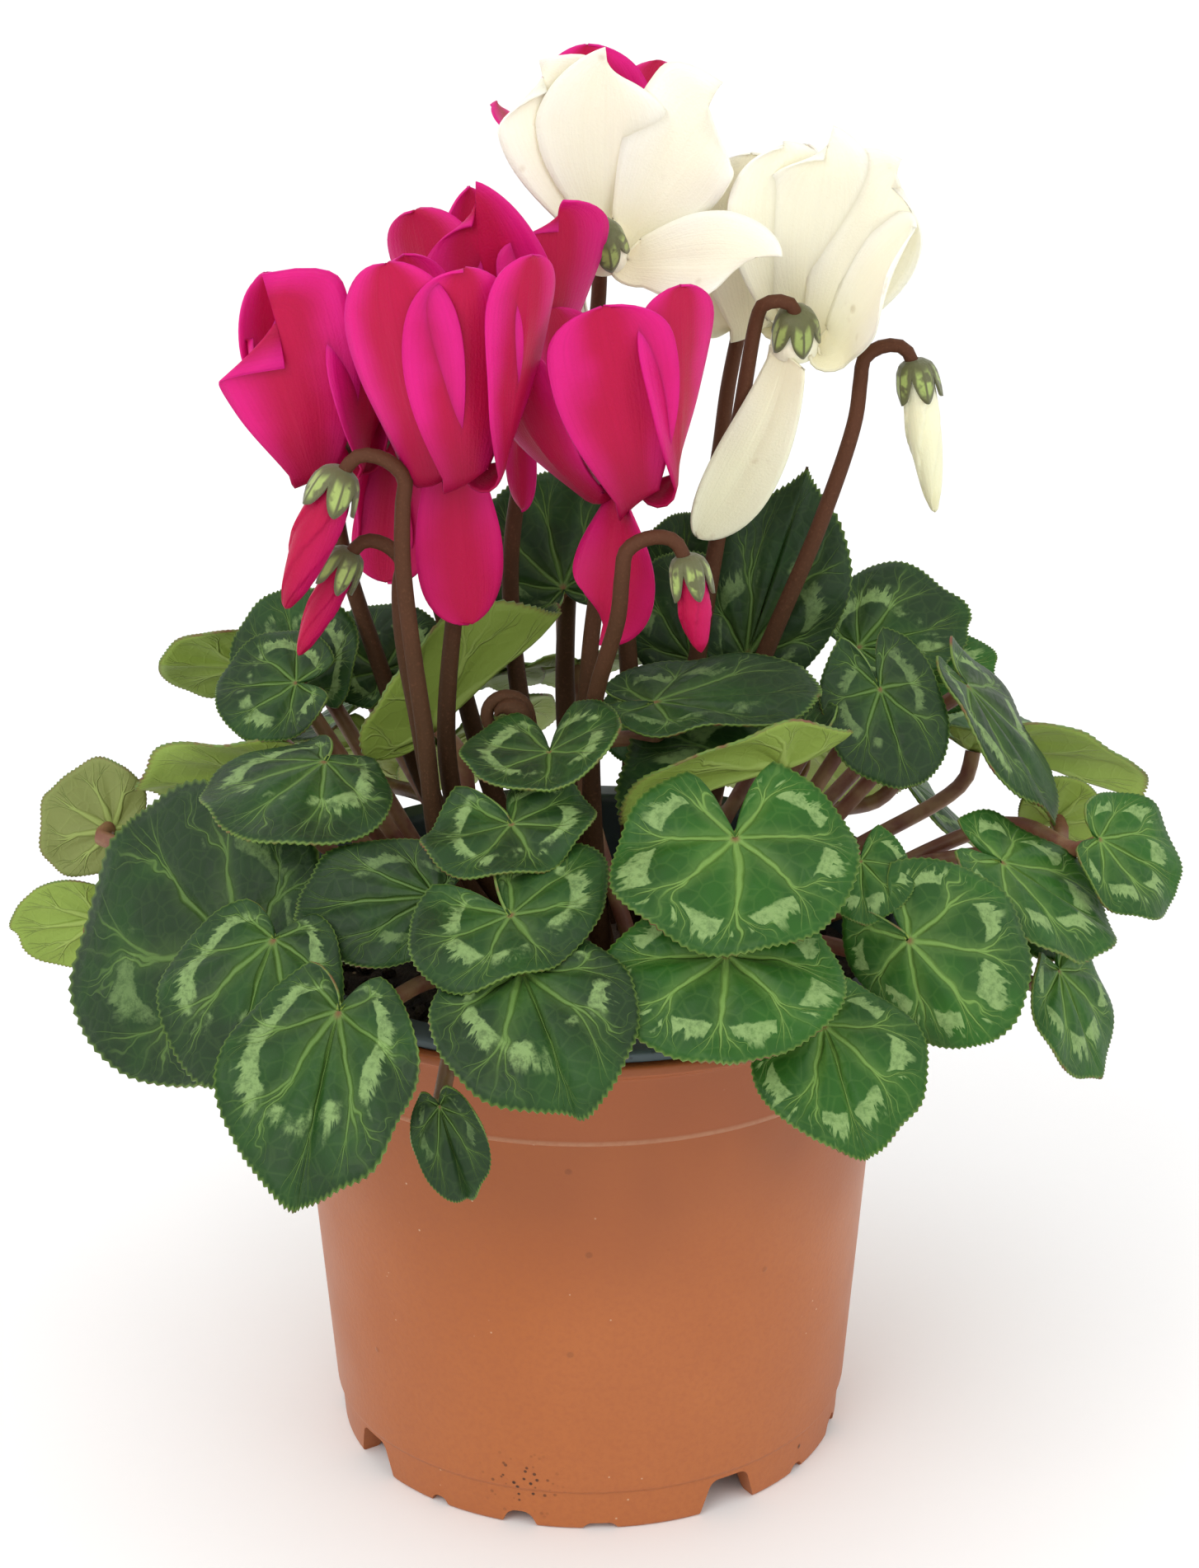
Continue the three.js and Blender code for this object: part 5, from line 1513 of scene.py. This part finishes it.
class CYCLAMEN_OT_build_stage(Operator):
    """Set the camera, the floor and the soft light"""
    bl_idname = "cyclamen.build_stage"
    bl_label = "Build stage"

    def execute(self, context):
        look = context.scene.cyclamen_stage
        floor = begun(bpy.ops.mesh.primitive_plane_add, size=8)
        floor.name = "floor"
        floor.data.materials.append(floor_finish(look))
        camera = begun(bpy.ops.object.camera_add)
        camera.name = "photo_camera"
        camera.matrix_world = (Matrix.Translation(CAMERA_PLACE) @ Matrix.Rotation(CAMERA_TURN, 4, "Z")
                               @ Matrix.Rotation(pi / 2 - CAMERA_DOWN, 4, "X")
                               @ Matrix.Rotation(CAMERA_ROLL, 4, "Z"))
        camera.data.lens = look.lens
        camera.data.sensor_width = SENSOR_WIDTH
        camera.data.clip_start = 0.01
        context.scene.camera = camera
        for name, (place, size, share) in LIGHTS.items():
            light = begun(bpy.ops.object.light_add, type="AREA", location=place)
            light.name = name
            light.data.shape = "DISK"
            light.data.size = size
            light.data.energy = look.key * share
            light.rotation_euler = (CROWN - Vector(place)).to_track_quat("-Z", "Y").to_euler()
        world = bpy.data.worlds.new("surround")
        world.use_nodes = True
        sky = world.node_tree.nodes["Background"]
        sky.inputs["Color"].default_value = (1, 1, 1, 1)
        sky.inputs["Strength"].default_value = look.sky
        context.scene.world = world
        context.scene.view_settings.view_transform = "Standard"
        return {"FINISHED"}


class CYCLAMEN_PT_build(Panel):
    """Lists the steps that build the plant"""
    bl_idname = "CYCLAMEN_PT_build"
    bl_label = "Potted cyclamen"
    bl_space_type = "VIEW_3D"
    bl_region_type = "UI"
    bl_category = "Cyclamen"

    def draw(self, context):
        layout = self.layout
        for operator in OPERATORS:
            layout.operator(operator.bl_idname)
        for settings in LOOKS:
            group = getattr(context.scene, settings)
            box = layout.box()
            for name in group.bl_rna.properties.keys():
                if name not in ("rna_type", "name"):
                    box.prop(group, name)


LOOKS = {
    "cyclamen_pot": CyclamenPotLook, "cyclamen_leaf": CyclamenLeafLook, "cyclamen_bloom": CyclamenBloomLook,
    "cyclamen_stage": CyclamenStageLook,
}
OPERATORS = [
    CYCLAMEN_OT_build_stage, CYCLAMEN_OT_build_pot, CYCLAMEN_OT_build_liner, CYCLAMEN_OT_build_soil,
    CYCLAMEN_OT_build_corm, CYCLAMEN_OT_build_petioles, CYCLAMEN_OT_build_stalks, CYCLAMEN_OT_build_calyxes,
    CYCLAMEN_OT_build_leaves, CYCLAMEN_OT_build_blooms, CYCLAMEN_OT_build_buds,
]


def register():
    for part in (*LOOKS.values(), *OPERATORS, CYCLAMEN_PT_build):
        bpy.utils.register_class(part)
    for name, look in LOOKS.items():
        setattr(bpy.types.Scene, name, PointerProperty(type=look))


def unregister():
    for name in LOOKS:
        delattr(bpy.types.Scene, name)
    for part in (CYCLAMEN_PT_build, *reversed(OPERATORS), *LOOKS.values()):
        bpy.utils.unregister_class(part)


def main():
    register()
    bpy.ops.cyclamen.build_stage()
    bpy.ops.cyclamen.build_pot()
    bpy.ops.cyclamen.build_liner()
    bpy.ops.cyclamen.build_soil()
    bpy.ops.cyclamen.build_corm()
    bpy.ops.cyclamen.build_petioles()
    bpy.ops.cyclamen.build_stalks()
    bpy.ops.cyclamen.build_calyxes()
    bpy.ops.cyclamen.build_leaves()
    bpy.ops.cyclamen.build_blooms()
    bpy.ops.cyclamen.build_buds()


if __name__ == "__main__":
    main()
